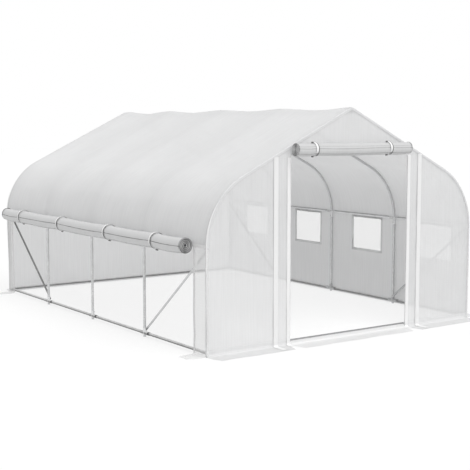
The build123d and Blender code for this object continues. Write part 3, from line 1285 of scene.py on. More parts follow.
    def braces(self, side: Side) -> Piece:
        """Two diagonal tubes of one side, with ends that are pressed flat and drilled.

        Args:
            side: Left or right.

        Returns:
            The piece.
        """
        node = f"{side.word}_braces"
        low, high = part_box(node)
        x = (low.x + high.x) / 2
        foot_z = low.z + self.tab_half
        head_z = high.z - self.tab_half
        foot_y = abs(self.form.hoops[1])
        head_y = abs(self.form.hoops[0])
        span = Vector((0, head_y - foot_y, head_z - foot_z))
        half = span.length / 2
        brace = add_rod("brace_model", (0, 0, -half - self.tab_half), (0, 0, half + self.tab_half),
                        self.brace_radius, self.sides)
        flat = half - self.tab_length
        taper = half - self.press_length
        with edit_mode(brace):
            for height in (-flat, -taper, taper, flat):
                bpy.ops.mesh.select_all(action="SELECT")
                bpy.ops.mesh.bisect(plane_co=(0, 0, height), plane_no=(0, 0, 1))
        for vertex in brace.data.vertices:
            if abs(vertex.co.z) > flat - 0.001:
                vertex.co.x *= self.tab_thin / self.brace_radius
                vertex.co.y *= self.tab_half / self.brace_radius
        soften(brace, self.tab_rim, 2, 60)
        tilt = Matrix.Rotation(-math.atan2(span.y, span.z), 4, "X")
        moves = []
        for end in End:
            middle = Vector((x, end.value * (foot_y + head_y) / 2, (foot_z + head_z) / 2))
            turn = tilt if end is End.REAR else Matrix.Diagonal((1, -1, 1, 1)) @ tilt
            moves.append(Matrix.Translation(middle) @ turn)
        pair = repeat(brace, f"{node}_tubes", moves)
        smooth(pair, 50)
        settle(pair, Slot.TUBE, self.finishes.upright if side is Side.LEFT else self.finishes.rail, node)
        # The rear brace of each side takes the dark finish as painted shade; the front one keeps the pale
        # finish.
        pair.data.materials.append(self.finishes.brace)
        for face in pair.data.polygons:
            face.material_index = int(face.center.y > 0)
        return pair

    def posts(self) -> Piece:
        """Two uprights beside the doorway.

        Returns:
            The piece.
        """
        low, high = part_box("door_posts")
        x = high.x - self.form.tube
        y = (low.y + high.y) / 2
        top = high.z - self.form.tube * self.post_gap
        post = add_rod("post_model", (x, y, low.z + self.form.tube), (x, y, top), self.form.tube, self.sides)
        hollow_ends(post, self.wall, self.hollow)
        pair = self.both_sides(post, "door_post_tubes")
        smooth(pair)
        return settle(pair, Slot.TUBE, self.finishes.upright, "door_posts")


@dataclass
class Fittings(Assembly):
    """Pressed sockets that join the tubes, with their bolts and collars."""

    socket: float = 0.045
    wall: float = 0.0018
    slack: float = 0.0003
    sides: int = 24
    rim: float = 0.0006
    merge: float = 0.00002
    head_radius: float = 0.0055
    head_height: float = 0.004
    washer: float = 0.0012
    washer_share: float = 1.35
    bolt_share: float = 0.55
    foot_bolt: float = 0.014
    head_bolt: float = 0.012
    overcut: float = 1.2
    elbow: float = 0.006
    elbow_stop: float = 0.0055

    @property
    def bore(self) -> float:
        """Radius of the bores."""
        return self.form.tube + self.slack

    @property
    def sleeve(self) -> float:
        """Outer radius of the sockets."""
        return self.bore + self.wall

    @property
    def stop(self) -> float:
        """Distance from a hub to the bottom of its sockets."""
        return self.sleeve + self.wall

    def build(self) -> list[Piece]:
        """Build the fittings of both sides and of the ridge.

        Returns:
            The pieces.
        """
        made = []
        for side in Side:
            made += [self.side_fittings(side, level) for level in Level]
            made.append(self.collars(side))
        made.append(self.ridge())
        return made

    def hub(self, runs: Sequence[tuple[Vector, Vector]], bores: Sequence[tuple[Vector, Vector]]) -> Piece:
        """Union of sleeves, bored out, with softened rims.

        Args:
            runs: Start and end of each sleeve.
            bores: Start and end of each bore.

        Returns:
            The fitting.
        """
        body = add_rod("fitting_model", *runs[0], self.sleeve, self.sides)
        for start, end in runs[1:]:
            carve(body, add_rod("sleeve_tool", start, end, self.sleeve, self.sides), "UNION")
        for start, end in bores:
            carve(body, add_rod("bore_tool", start, end, self.bore, self.sides), "DIFFERENCE")
        soften(body, self.rim, 2, 55)
        with edit_mode(body):
            bpy.ops.mesh.select_all(action="SELECT")
            bpy.ops.mesh.remove_doubles(threshold=self.merge)
            bpy.ops.mesh.dissolve_degenerate(threshold=self.merge)
            bpy.ops.mesh.fill_holes(sides=0)
            bpy.ops.mesh.normals_make_consistent(inside=False)
        return body

    def bolt(self, place: Vector, way: Vector) -> Piece:
        """Hexagon bolt head on a washer.

        Args:
            place: Where it meets the sleeve.
            way: Direction in which the head points.

        Returns:
            The bolt.
        """
        seat = place + way * self.washer
        top = place + way * (self.washer + self.head_height)
        washer = add_rod("washer_model", place - way * self.head_height, seat,
                         self.head_radius * self.washer_share, 16)
        head = add_rod("bolt_model", place, top, self.head_radius, 6)
        with edit_mode(head) as mesh:
            pick_faces(head, mesh, lambda face: (face.calc_center_median() - top).length < 0.001)
            bpy.ops.mesh.inset(thickness=self.washer, depth=self.washer / 2)
        return join([washer, head], "bolt_model")

    def arms(self, place: float) -> list[Vector]:
        """Directions in which rails leave a hoop."""
        reach = abs(self.form.hoops[0]) + self.form.tube
        return [Vector((0, step, 0)) for step in (-1, 1) if abs(place + step * self.form.bay) < reach]

    def assemble(self, node: str, models: Sequence[Piece], bolts: Sequence[Piece]) -> Piece:
        """Join the fittings of a node and its bolts, with both finishes.

        Args:
            node: CAD node that they stand for.
            models: Fittings in their places.
            bolts: Bolts in their places.

        Returns:
            The joined piece.
        """
        # The right eave fittings take the pale finish to lift the shade under the eave rail: painted light.
        # The arms of the left base fittings take the base rail finish, with painted shade underneath.
        kinds = {"left_base_fittings": [self.finishes.fitting, self.finishes.base_rail],
                 "right_eave_fittings": [self.finishes.fitting]}
        pressed = kinds.get(node, [self.finishes.socket])
        for group, finishes in ((models, pressed), (bolts, [self.finishes.bolt])):
            for model in group:
                model.data.materials.clear()
                for finish in finishes:
                    model.data.materials.append(finish)
                if len(finishes) > 1:
                    self.mark_arms(model)
        piece = join([*models, *bolts], f"{node}_bolted")
        smooth(piece, 40)
        return settle(piece, Slot.FITTING, None, node)

    def mark_arms(self, model: Piece) -> None:
        """Give the arms of a base fitting the second of its finishes.

        Args:
            model: Fitting in its place.
        """
        for face in model.data.polygons:
            along = min(abs(face.center.y - place) for place in self.form.hoops)
            aside = abs(abs(face.center.x) - self.form.leg)
            face.material_index = int(max(along, aside) > self.sleeve * 1.05)

    def side_fittings(self, side: Side, level: Level) -> Piece:
        """Fittings of one side that join its legs to the eave rails or the base rails.

        Args:
            side: Left or right.
            level: Eave or base.

        Returns:
            The joined fittings.
        """
        node = f"{side.word}_{level.word}_fittings"
        low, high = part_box(node)
        rail_low, rail_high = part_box(f"{side.word}_{level.word}_rail")
        is_base = level is Level.BASE
        hub_x = side.value * (self.form.leg if is_base else abs(low.x + high.x) / 2)
        inward = Vector((-side.value, 0, 0))
        over = UP * self.socket
        reach = self.stop + self.socket
        models = []
        bolts = []
        for place in self.form.hoops:
            hub = Vector((hub_x, place, (rail_low.z + rail_high.z) / 2))
            foot = Vector((hub.x, place, low.z))
            head = Vector((hub.x, place, high.z))
            arms = self.arms(place)
            if len(arms) == 1 and is_base:
                arms.append(inward)
            runs = [(foot, head)] + [(hub, hub + arm * reach) for arm in arms]
            bores = [(foot - over, head + over)]
            bores += [(hub + arm * self.stop, hub + arm * (reach * self.overcut)) for arm in arms]
            models.append(self.hub(runs, bores))
            for arm in arms:
                lift = UP if arm == inward else inward
                spot = hub + arm * (self.stop + self.socket * self.bolt_share) + lift * self.sleeve
                bolts.append(self.bolt(spot, lift))
            for height in (low.z + self.foot_bolt, high.z - self.head_bolt):
                spot = Vector((hub.x, place, height)) + inward * self.sleeve
                bolts.append(self.bolt(spot, inward))
        return self.assemble(node, models, bolts)

    def ridge(self) -> Piece:
        """Elbows at the ridge with sockets under them for the purlin.

        Returns:
            The piece.
        """
        form = self.form
        rail_low, rail_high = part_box("ridge_purlin")
        purlin = (rail_low.z + rail_high.z) / 2
        models = []
        bolts = []
        for place in form.hoops:
            apex = Vector((0, place, form.bow_apex))
            hub = Vector((0, place, purlin))
            runs = []
            bores = []
            for side in Side:
                way = Vector((side.value * math.cos(form.pitch), 0, -math.sin(form.pitch)))
                reach = self.socket + self.elbow
                runs.append((apex - way * 0.002, apex + way * reach))
                bores.append((apex + way * self.elbow_stop, apex + way * (reach * 1.3)))
                under = Vector((-side.value * math.sin(form.pitch), 0, -math.cos(form.pitch)))
                bolts.append(self.bolt(apex + way * (reach * 0.62) + under * self.sleeve, under))
            for arm in self.arms(place):
                reach = self.stop + self.socket
                runs.append((hub - arm * self.sleeve, hub + arm * reach))
                bores.append((hub + arm * self.stop, hub + arm * (reach * self.overcut)))
                spot = hub + arm * (self.stop + self.socket * self.bolt_share) - UP * self.sleeve
                bolts.append(self.bolt(spot, -UP))
            models.append(self.hub(runs, bores))
        return self.assemble("ridge_fittings", models, bolts)

    def collars(self, side: Side) -> Piece:
        """Dark collars at the front of each base socket.

        Args:
            side: Left or right.

        Returns:
            The piece.
        """
        node = f"{side.word}_rail_collars"
        low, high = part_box(node)
        x = (low.x + high.x) / 2
        z = (low.z + high.z) / 2
        back = -(self.stop + self.socket)
        front = low.y - self.form.hoops[1]
        ring = add_rod("collar_model", (x, front, z), (x, back, z), self.sleeve, self.sides)
        hole = add_rod("collar_tool", (x, front * self.overcut, z), (x, 0, z), self.bore, self.sides)
        carve(ring, hole, "DIFFERENCE")
        soften(ring, self.rim * 2, 3, 55)
        moves = [Matrix.Translation((0, place, 0)) for place in self.form.hoops[1:]]
        line = repeat(ring, f"{node}_moulded", moves)
        smooth(line, 40)
        # The left-hand collars are black, partly as moulded collars and partly standing in for the shadow in
        # the gap at each foot: painted shade.
        finish = self.finishes.black if side is Side.LEFT else self.finishes.grey_collar
        return settle(line, Slot.PLASTIC, finish, node)


# The cover


@dataclass
class CoverSheets(Assembly):
    """Roof, sides and ends of the cover, with their hems, piping and ground flaps."""

    spacing: float = 0.03
    corner: float = 0.009
    lip: float = 0.014
    ground_bend: float = 0.016
    rest: float = 0.0025
    flap_taper: float = 0.035
    hem_width: float = 0.025
    hem_thickness: float = 0.0014
    piping_radius: float = 0.007
    # Share of the full bead on the right half: thinner there, so that the painted highlight shows on the lit
    # left shoulder only.
    right_piping: float = 0.45
    rear_trim: float = 0.03
    sill_show: float = 0.009
    foot_hem: float = 0.055
    panel_columns: int = 26
    door_columns: int = 44
    rear_columns: int = 100
    edge_fade: float = 0.12
    eave_proud: float = 0.0012
    strip_proud: float = 0.002
    end_inset: float = 0.0015
    sill_gap: float = 0.004

    @property
    def flat_end(self) -> float:
        """Y at which the cover starts to turn round the end of the tunnel."""
        return self.form.end - self.corner

    def build(self) -> list[Piece]:
        """Build every sheet of the cover that hangs on the frame.

        Returns:
            The pieces.
        """
        made = [self.main_sheet(), self.end_sheet(End.FRONT), self.end_sheet(End.REAR), self.sill_flap()]
        made += [self.corner_strip(end) for end in End]
        made += [self.piping(end) for end in End]
        made.append(self.eave_hem())
        return made

    def eave_hem(self) -> Piece:
        """Sewn hem along the left edge of the roof.

        Returns:
            The piece.
        """
        form = self.form
        y = np.linspace(-self.flat_end, self.flat_end, 90)
        path = grid(-form.leg - form.skin - self.eave_proud, y, form.spring + self.hem_width / 2)
        hem = ribbon("left_eave_hem", path, (-1, 0, 0), self.hem_width, self.hem_thickness,
                     self.finishes.band)
        return settle(hem, Slot.COVER, None)

    def end_columns(self, end: End) -> tuple[Grid, Grid]:
        """Columns of a sheet that turns round an end and lies on it.

        Args:
            end: Which end.

        Returns:
            Y and offset change of each column, from the flat part outwards.
        """
        angles = np.linspace(0, math.pi / 2, 6)[1:]
        y = np.concatenate([self.flat_end + self.corner * np.sin(angles),
                            np.full(3, self.form.end + 0.0006)])
        turned = self.corner * (1 - np.cos(angles))
        lying = self.corner + self.lip * np.array([0.35, 0.7, 1.0])
        return end.value * y, -np.concatenate([turned, lying])

    def main_sheet(self) -> Piece:
        """Roof and right side in one sheet, with windows and a flap that lies on the ground.

        Returns:
            The piece.
        """
        form = self.form
        windows = form.windows
        sill, head = windows[0].sill, windows[0].head
        marks = [-self.flat_end, form.hoops[0]]
        for window, hoop in zip(windows, form.hoops[1:]):
            marks += [window.front, window.rear, hoop]
        flat_y = steps([*marks, self.flat_end], self.spacing)
        front_y, front_off = self.end_columns(End.FRONT)
        rear_y, rear_off = self.end_columns(End.REAR)
        y = np.concatenate([front_y[::-1], flat_y, rear_y])
        ease = np.concatenate([front_off[::-1], np.zeros(len(flat_y)), rear_off])
        half_length = form.half_length(form.skin)
        climb = np.linspace(0, 1, round(half_length / self.spacing) + 1)
        fall = climb[::-1][1:]
        roof_rows = np.concatenate([climb, fall])[:, None]
        roof_side = np.concatenate([-np.ones(len(climb)), np.ones(len(fall))])[:, None]
        wall_rows = steps([form.spring, head, sill, self.ground_bend], self.spacing)[1:]
        to_ground = 2 * half_length + form.spring
        length = np.concatenate([climb * half_length, (2 - fall) * half_length, to_ground - wall_rows])
        held = np.where(ease < 0, 0, np.sin(np.pi * form.bay_share(y)) ** 0.6 * 0.85 + 0.15)
        wide = Wrinkles(3, 0.0028, 0.62).height(length[:, None], y[None, :])
        fine = Wrinkles(5, 0.0012, 0.19, math.pi / 2, 1.2).height(length[:, None], y[None, :])
        offset = form.skin + ease + (wide + fine) * held
        x, z = form.arch(roof_rows, offset[:len(roof_rows)], form.sag(y)[None, :])
        wall_x = form.leg + offset[len(roof_rows):]
        points = np.concatenate([grid(x * roof_side, y, z), grid(wall_x, y, wall_rows[:, None])])
        weave = grid(length[:, None], y)
        height = to_ground - (length[1:] + length[:-1]) / 2
        place = (y[1:] + y[:-1]) / 2
        in_window = np.zeros(len(place), bool)
        for window in windows:
            in_window |= (place > window.front) & (place < window.rear)
        keep = ~(((height > sill) & (height < head))[:, None] & in_window[None, :])
        cloth = Cloth("roof_and_right_cover")
        cloth.lay(points[:, ::-1], weave[:, ::-1], keep[:, ::-1])
        flap_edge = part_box("right_ground_flap")[1].x
        inner = slice(len(front_y), len(front_y) + len(flat_y))
        self.lay_flap(cloth, points[-1][inner], weave[-1][inner], Vector((1, 0, 0)),
                      flap_edge - form.leg - form.skin, 11)
        piece = cloth.sew([self.finishes.cover])
        settle(piece, Slot.COVER, None, "roof_cover", "right_side_cover", "right_ground_flap")
        return piece

    def lay_flap(self, cloth: Cloth, foot: Grid, weave: Grid, outward: Vector, reach: float,
                 seed: int) -> None:
        """Turn the foot of a sheet outwards and lay it on the ground.

        Args:
            cloth: Sheet to add to.
            foot: Points of its lowest row.
            weave: Weave coordinates of that row.
            outward: Direction in which the flap lies.
            reach: How far the flap reaches from the sheet.
            seed: Seed of its waves.
        """
        bend = self.ground_bend
        along = np.abs(np.array([outward.y, outward.x, 0.0]))
        run = foot @ along
        middle = (run.max() + run.min()) / 2
        half = (run.max() - run.min()) / 2
        angles = np.linspace(0, math.pi / 2, 5)[1:]
        flat = np.linspace(bend, reach, 8)[1:]
        aside = np.concatenate([bend * (1 - np.cos(angles)), flat])
        height = np.concatenate([bend * (1 - np.sin(angles)), np.zeros(len(flat))])
        ragged = Wrinkles(seed, 0.006, 0.35).height(run, run * 0)
        waves = Wrinkles(seed + 1, 0.003, 0.16)
        rows = [foot]
        for far, up in zip(aside, height):
            share = max(0.0, far - bend) / (reach - bend)
            pull = 1 - self.flap_taper / half * share ** 2
            lift = self.rest + np.maximum(waves.height(run, run * 0 + far), 0) * min(1.0, share * 2)
            row = foot * (1 - along) + np.outer(middle + (run - middle) * pull, along)
            row += np.outer(far + ragged * share, np.array(outward))
            row[:, 2] = up * (1 - share) + lift
            rows.append(row)
        maps = [weave + np.array([far + bend, 0.0]) for far in (0.0, *aside)]
        is_up = Vector(foot[-1] - foot[0]).cross(outward).z > 0
        order = slice(None, None, 1 if is_up else -1)
        cloth.lay(np.stack(rows)[:, order], np.stack(maps)[:, order])

    def end_sheet(self, end: End) -> Piece:
        """Front with its doorway, or closed rear, each with flaps on the ground.

        Args:
            end: Front or rear.

        Returns:
            The piece.
        """
        form = self.form
        sign = end.value
        is_front = end is End.FRONT
        edge = form.skin - self.corner * 0.6
        apex = form.bow_apex + edge / math.cos(form.pitch)
        door_half = form.door_half
        door_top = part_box("front_left_panel")[1].z
        flap_node = "front_ground_flaps" if is_front else "rear_ground_flap"
        flap = max(abs(corner.y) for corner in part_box(flap_node)) - form.end
        outward = Vector((0, sign, 0))
        cloth = Cloth(f"{end.word}_cover")
        seed = 21 if is_front else 31
        broad = Wrinkles(seed, 0.0022, 0.5)
        fold = Wrinkles(seed + 1, 0.0009, 0.14, math.pi / 2, 0.9)

        def stand(x: Grid, z: Grid) -> tuple[Grid, Grid]:
            """Points and weave of a patch that stands in the end, with waves that fade at its edge.

            Args:
                x: Places across the end.
                z: Heights.

            Returns:
                Points and weave coordinates.
            """
            room = np.clip((form.half_span(z, edge) - np.abs(x)) / self.edge_fade, 0, 1)
            out = (broad.height(z, x) + fold.height(z, x)) * room
            y = form.end - self.end_inset + np.maximum(out, -0.001)
            return grid(x, sign * y, z), grid(z, x)

        low_rows = steps([self.ground_bend, self.foot_hem, form.spring, door_top], self.spacing)[:, None]
        span = form.half_span(low_rows, edge)
        top_span = float(form.half_span(np.array(door_top), edge))
        if is_front:
            shares = np.linspace(0, 1, self.panel_columns + 1)
            on_hem = np.repeat(low_rows[1:] < self.foot_hem + 0.001, self.panel_columns, 1)
            for side in Side:
                points, weave = stand(side.value * (door_half + (span - door_half) * shares), low_rows)
                order = slice(None, None, side.value)
                cloth.lay(points[:, order], weave[:, order], ~on_hem)
                cloth.lay(points[:, order], weave[:, order], on_hem, 1)
                self.lay_flap(cloth, points[0][1:], weave[0][1:], outward, flap, 41 + side.value)
            middle = np.linspace(-door_half, door_half, self.door_columns + 1)[1:-1]
            wing = door_half + (top_span - door_half) * shares
            columns = np.concatenate([-wing[::-1], middle, wing]) / top_span
        else:
            columns = np.linspace(-1, 1, self.rear_columns + 1)
            points, weave = stand(span * columns, low_rows)
            cloth.lay(points[:, ::-1], weave[:, ::-1])
            self.lay_flap(cloth, points[0], weave[0], outward, flap, 47)
        high_rows = steps([door_top, apex - 0.002], self.spacing)[:, None]
        points, weave = stand(form.half_span(high_rows, edge) * columns, high_rows)
        cloth.lay(points[:, ::-sign], weave[:, ::-sign])
        finishes = [self.finishes.front, self.finishes.front_foot] if is_front else [self.finishes.rear]
        piece = cloth.sew(finishes)
        open_half = door_half if is_front else 0.0
        area = float(np.mean(form.half_span(np.linspace(0, form.ridge, 400), edge)) * 2 * form.ridge)
        area += 2 * (form.side - open_half) * flap - 2 * open_half * door_top
        nodes = ["rear_end_cover", "rear_ground_flap"]
        if is_front:
            nodes = ["front_left_panel", "front_right_panel", "front_gable_panel"]
        settle(piece, Slot.COVER, None, *nodes)
        return piece

    def sill_flap(self) -> Piece:
        """Flap of the doorway that lies on the ground in front of the rail.

        Returns:
            The piece.
        """
        form = self.form
        half = form.door_half
        flap = -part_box("front_ground_flaps")[0].y - form.end
        x = np.linspace(-half + self.sill_gap, half - self.sill_gap, self.door_columns + 1)
        foot = grid(x, self.end_inset - form.end, self.ground_bend)
        weave = grid(0.0, x)
        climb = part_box("front_base_rail")[1].z - self.sill_show - self.ground_bend
        rise = np.stack([foot + np.array([0, 0.001, climb]), foot])
        cloth = Cloth("doorway_sill_flap")
        cloth.lay(rise[:, ::-1], np.stack([weave - np.array([climb, 0]), weave])[:, ::-1])
        self.lay_flap(cloth, foot, weave, Vector((0, -1, 0)), flap, 53)
        piece = cloth.sew([self.finishes.sill])
        settle(piece, Slot.COVER, None, "front_ground_flaps")
        return piece

    def corner_strip(self, end: End) -> Piece:
        """Narrow fixed strip of the left side beside one end, with its flap and its hem.

        Args:
            end: Front or rear.

        Returns:
            The piece.
        """
        form = self.form
        node = f"left_{end.word}_strip"
        low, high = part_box(node)
        inner = high.y if end is End.FRONT else low.y + self.rear_trim
        end_y, end_off = self.end_columns(end)
        flat_y = steps([inner, end.value * self.flat_end], self.spacing / 1.6)
        y = np.concatenate([flat_y, end_y])
        ease = np.concatenate([np.zeros(len(flat_y)), end_off])
        rows = steps([self.ground_bend, form.spring], self.spacing)
        loose = np.clip((form.spring - rows) / 0.1, 0, 1)[:, None]
        wave = Wrinkles(61 + end.value, 0.0035, 0.4).height(rows[:, None], y[None, :]) * loose
        offset = form.skin + ease + np.where(ease < 0, 0, wave)
        points = grid(-(form.leg + offset), y, rows[:, None])
        weave = grid(rows[:, None], y)
        cloth = Cloth(f"{node}_cover")
        order = slice(None, None, -end.value)
        cloth.lay(points[:, order], weave[:, order])
        flap_edge = -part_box("left_corner_flaps")[0].x
        flat = slice(0, len(flat_y))
        self.lay_flap(cloth, points[0][flat], weave[0][flat], Vector((-1, 0, 0)),
                      flap_edge - form.leg - form.skin, 67)
        piece = cloth.sew([self.finishes.strip])
        settle(piece, Slot.COVER, None, node, "left_corner_flaps")
        face = -form.leg - form.skin - self.strip_proud - wave[:, 0]
        path = grid(face, inner + end.value * self.hem_width / 2, rows)
        hem = ribbon(f"{node}_hem", path, (-1, 0, 0), self.hem_width, self.hem_thickness,
                     self.finishes.strip_hem)
        settle(hem, Slot.COVER, None)
        return piece

    def piping_half(self, end: End, most: float) -> tuple[Grid, Grid]:
        """Right half of a bead's line, from the ground to the ridge.

        Args:
            end: Which end.
            most: Largest share of the full radius.

        Returns:
            Points and the share of the full radius at each.
        """
        form = self.form
        travel = np.linspace(0, 1, 60)
        height = form.arch(travel, np.full(60, form.skin))[1]
        foot = np.linspace(0.008, form.spring, 30)[:-1]
        level = np.concatenate([foot, height]) - form.spring
        # The bead thins towards the ridge, where the painted highlight fades.
        slim = np.clip(np.minimum((0.45 - level) / 0.28, 1 + (level + 0.1) / 0.6), 0.15, most)
        out = self.corner * (1 - math.sqrt(0.5)) - 0.001 + 0.004 * (1 - slim)
        x, z = form.arch(travel, form.skin - out[len(foot):])
        x = np.concatenate([form.leg + form.skin - out[:len(foot)], x])
        y = end.value * (self.flat_end + self.corner - out)
        return grid(x, y, np.concatenate([foot, z])), slim

    def piping(self, end: End) -> Piece:
        """Sewn bead along the corner between the roof and an end, from ground to ground, pale and fuller on
        the left shoulder, where it also stands in for the highlight along that shoulder: painted highlight.

        Args:
            end: Front or rear.

        Returns:
            The piece.
        """
        right, thin = self.piping_half(end, self.right_piping)
        left, full = self.piping_half(end, 1.0)
        path = np.concatenate([right, left[::-1][1:] * np.array([-1, 1, 1])])
        slim = np.concatenate([thin, full[::-1][1:]])
        piece = bead(f"{end.word}_corner_piping", path, self.piping_radius * slim, self.finishes.piping)
        return settle(piece, Slot.WEBBING, None)


@dataclass
class Windows(Assembly):
    """Hems, screens and rolled flaps of the windows in the right side."""

    sheet_length: float = 0.4
    hem_thickness: float = 0.0014
    screen_hem: float = 0.01
    tie_width: float = 0.012
    outer_gap: float = 0.0005
    inner_gap: float = 0.0038
    screen_gap: float = 0.0012
    screen_bulge: float = 0.002
    roll_share: float = 0.96

    def build(self) -> list[Piece]:
        """Build the windows.

        Returns:
            The pieces.
        """
        made = [self.hems()]
        for number, window in enumerate(self.form.windows, 1):
            made.append(self.screen(number, window))
            made += self.flap(number, window)
        return made

    def hems(self) -> Piece:
        """Sewn frames round the window openings.

        Returns:
            The piece.
        """
        form = self.form
        tapes = ((form.side - self.outer_gap, 1, self.finishes.hem),
                 (form.leg + form.skin - self.inner_gap, -1, self.finishes.inner_hem))
        frames = []
        for window in form.windows:
            for x, facing, finish in tapes:
                frames += self.frame(x, facing, window, finish)
        return settle(join(frames, "window_hem_tape"), Slot.COVER, None, "window_hems")

    def frame(self, x: float, facing: int, window: Opening, finish: Material) -> list[Piece]:
        """Four tapes round one window, with butted corners.

        Args:
            x: Place of the tapes.
            facing: Sign of the X direction that they face.
            window: The opening.
            finish: Their material.

        Returns:
            The tapes.
        """
        low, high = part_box("window_hems")
        width = high.z - window.head
        reach = high.y - self.form.windows[-1].middle - width / 2
        left, right = window.middle - reach, window.middle + reach
        sill, head = low.z + width / 2, high.z - width / 2
        corners = [(left, sill), (right, sill), (right, head), (left, head)]
        share = np.linspace(0, 1, 14)[:, None]
        made = []
        for side in range(4):
            first = np.array(corners[side])
            last = np.array(corners[(side + 1) % 4])
            way = (last - first) / np.linalg.norm(last - first)
            over = way * width / 2 * (-1 if side % 2 else 1)
            flat = first - over + (last - first + 2 * over) * share
            path = grid(x, flat[:, 0], flat[:, 1])
            made.append(ribbon("hem_side", path, (facing, 0, 0), width, self.hem_thickness, finish))
        return made

    def screen(self, number: int, window: Opening) -> Piece:
        """Open mesh stretched in one window, with its number from the front.

        Args:
            number: Number of the window, from the front.
            window: The opening.

        Returns:
            The piece.
        """
        reach = self.screen_hem
        tall = window.head - window.sill
        y, z = np.meshgrid(np.linspace(window.front - reach, window.rear + reach, 15),
                           np.linspace(window.sill - reach, window.head + reach, 12))
        across = (y - window.middle) / window.half
        up = (z - (window.sill + window.head) / 2) / tall
        bulge = np.maximum(np.cos(across * 1.3) * np.cos(up * 2.6), 0)
        cloth = Cloth(f"window_screen_{number}")
        x = self.form.leg + self.form.skin - self.screen_gap - self.screen_bulge * bulge
        cloth.lay(grid(x, y, z), grid(y, z))
        piece = cloth.sew([self.finishes.screen])
        settle(piece, Slot.MESH, None, "window_screens")
        return piece

    def flap(self, number: int, window: Opening) -> list[Piece]:
        """Rolled up flap over one window, with two ties.

        Args:
            number: Number of the window, from the front.
            window: The opening.

        Returns:
            The pieces.
        """
        low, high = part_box("window_flap_rolls")
        half = high.y - self.form.windows[-1].middle
        start = Vector(((low.x + high.x) / 2, window.middle - half, (low.z + high.z) / 2))
        roll = Roll(f"window_flap_roll_{number}", start, Vector((0, 1, 0)), Vector((-1, 0, 0)), 2 * half,
                    (high.z - low.z) / 2 * self.roll_share, self.sheet_length, (0.22, 0.78), 79 + number,
                    pinch=0.1, sag=0.001, layer=0.0012, spacing=0.02, crease_depth=0.03)
        piece = roll.sheet([self.finishes.rolled, self.finishes.rolled])
        settle(piece, Slot.COVER, None, "window_flap_rolls")
        ties = [roll.tie("flap_tie", share, self.tie_width, self.finishes.tie) for share in roll.tie_shares]
        tie = settle(join(ties, f"window_flap_ties_{number}"), Slot.WEBBING, None)
        return [piece, tie]


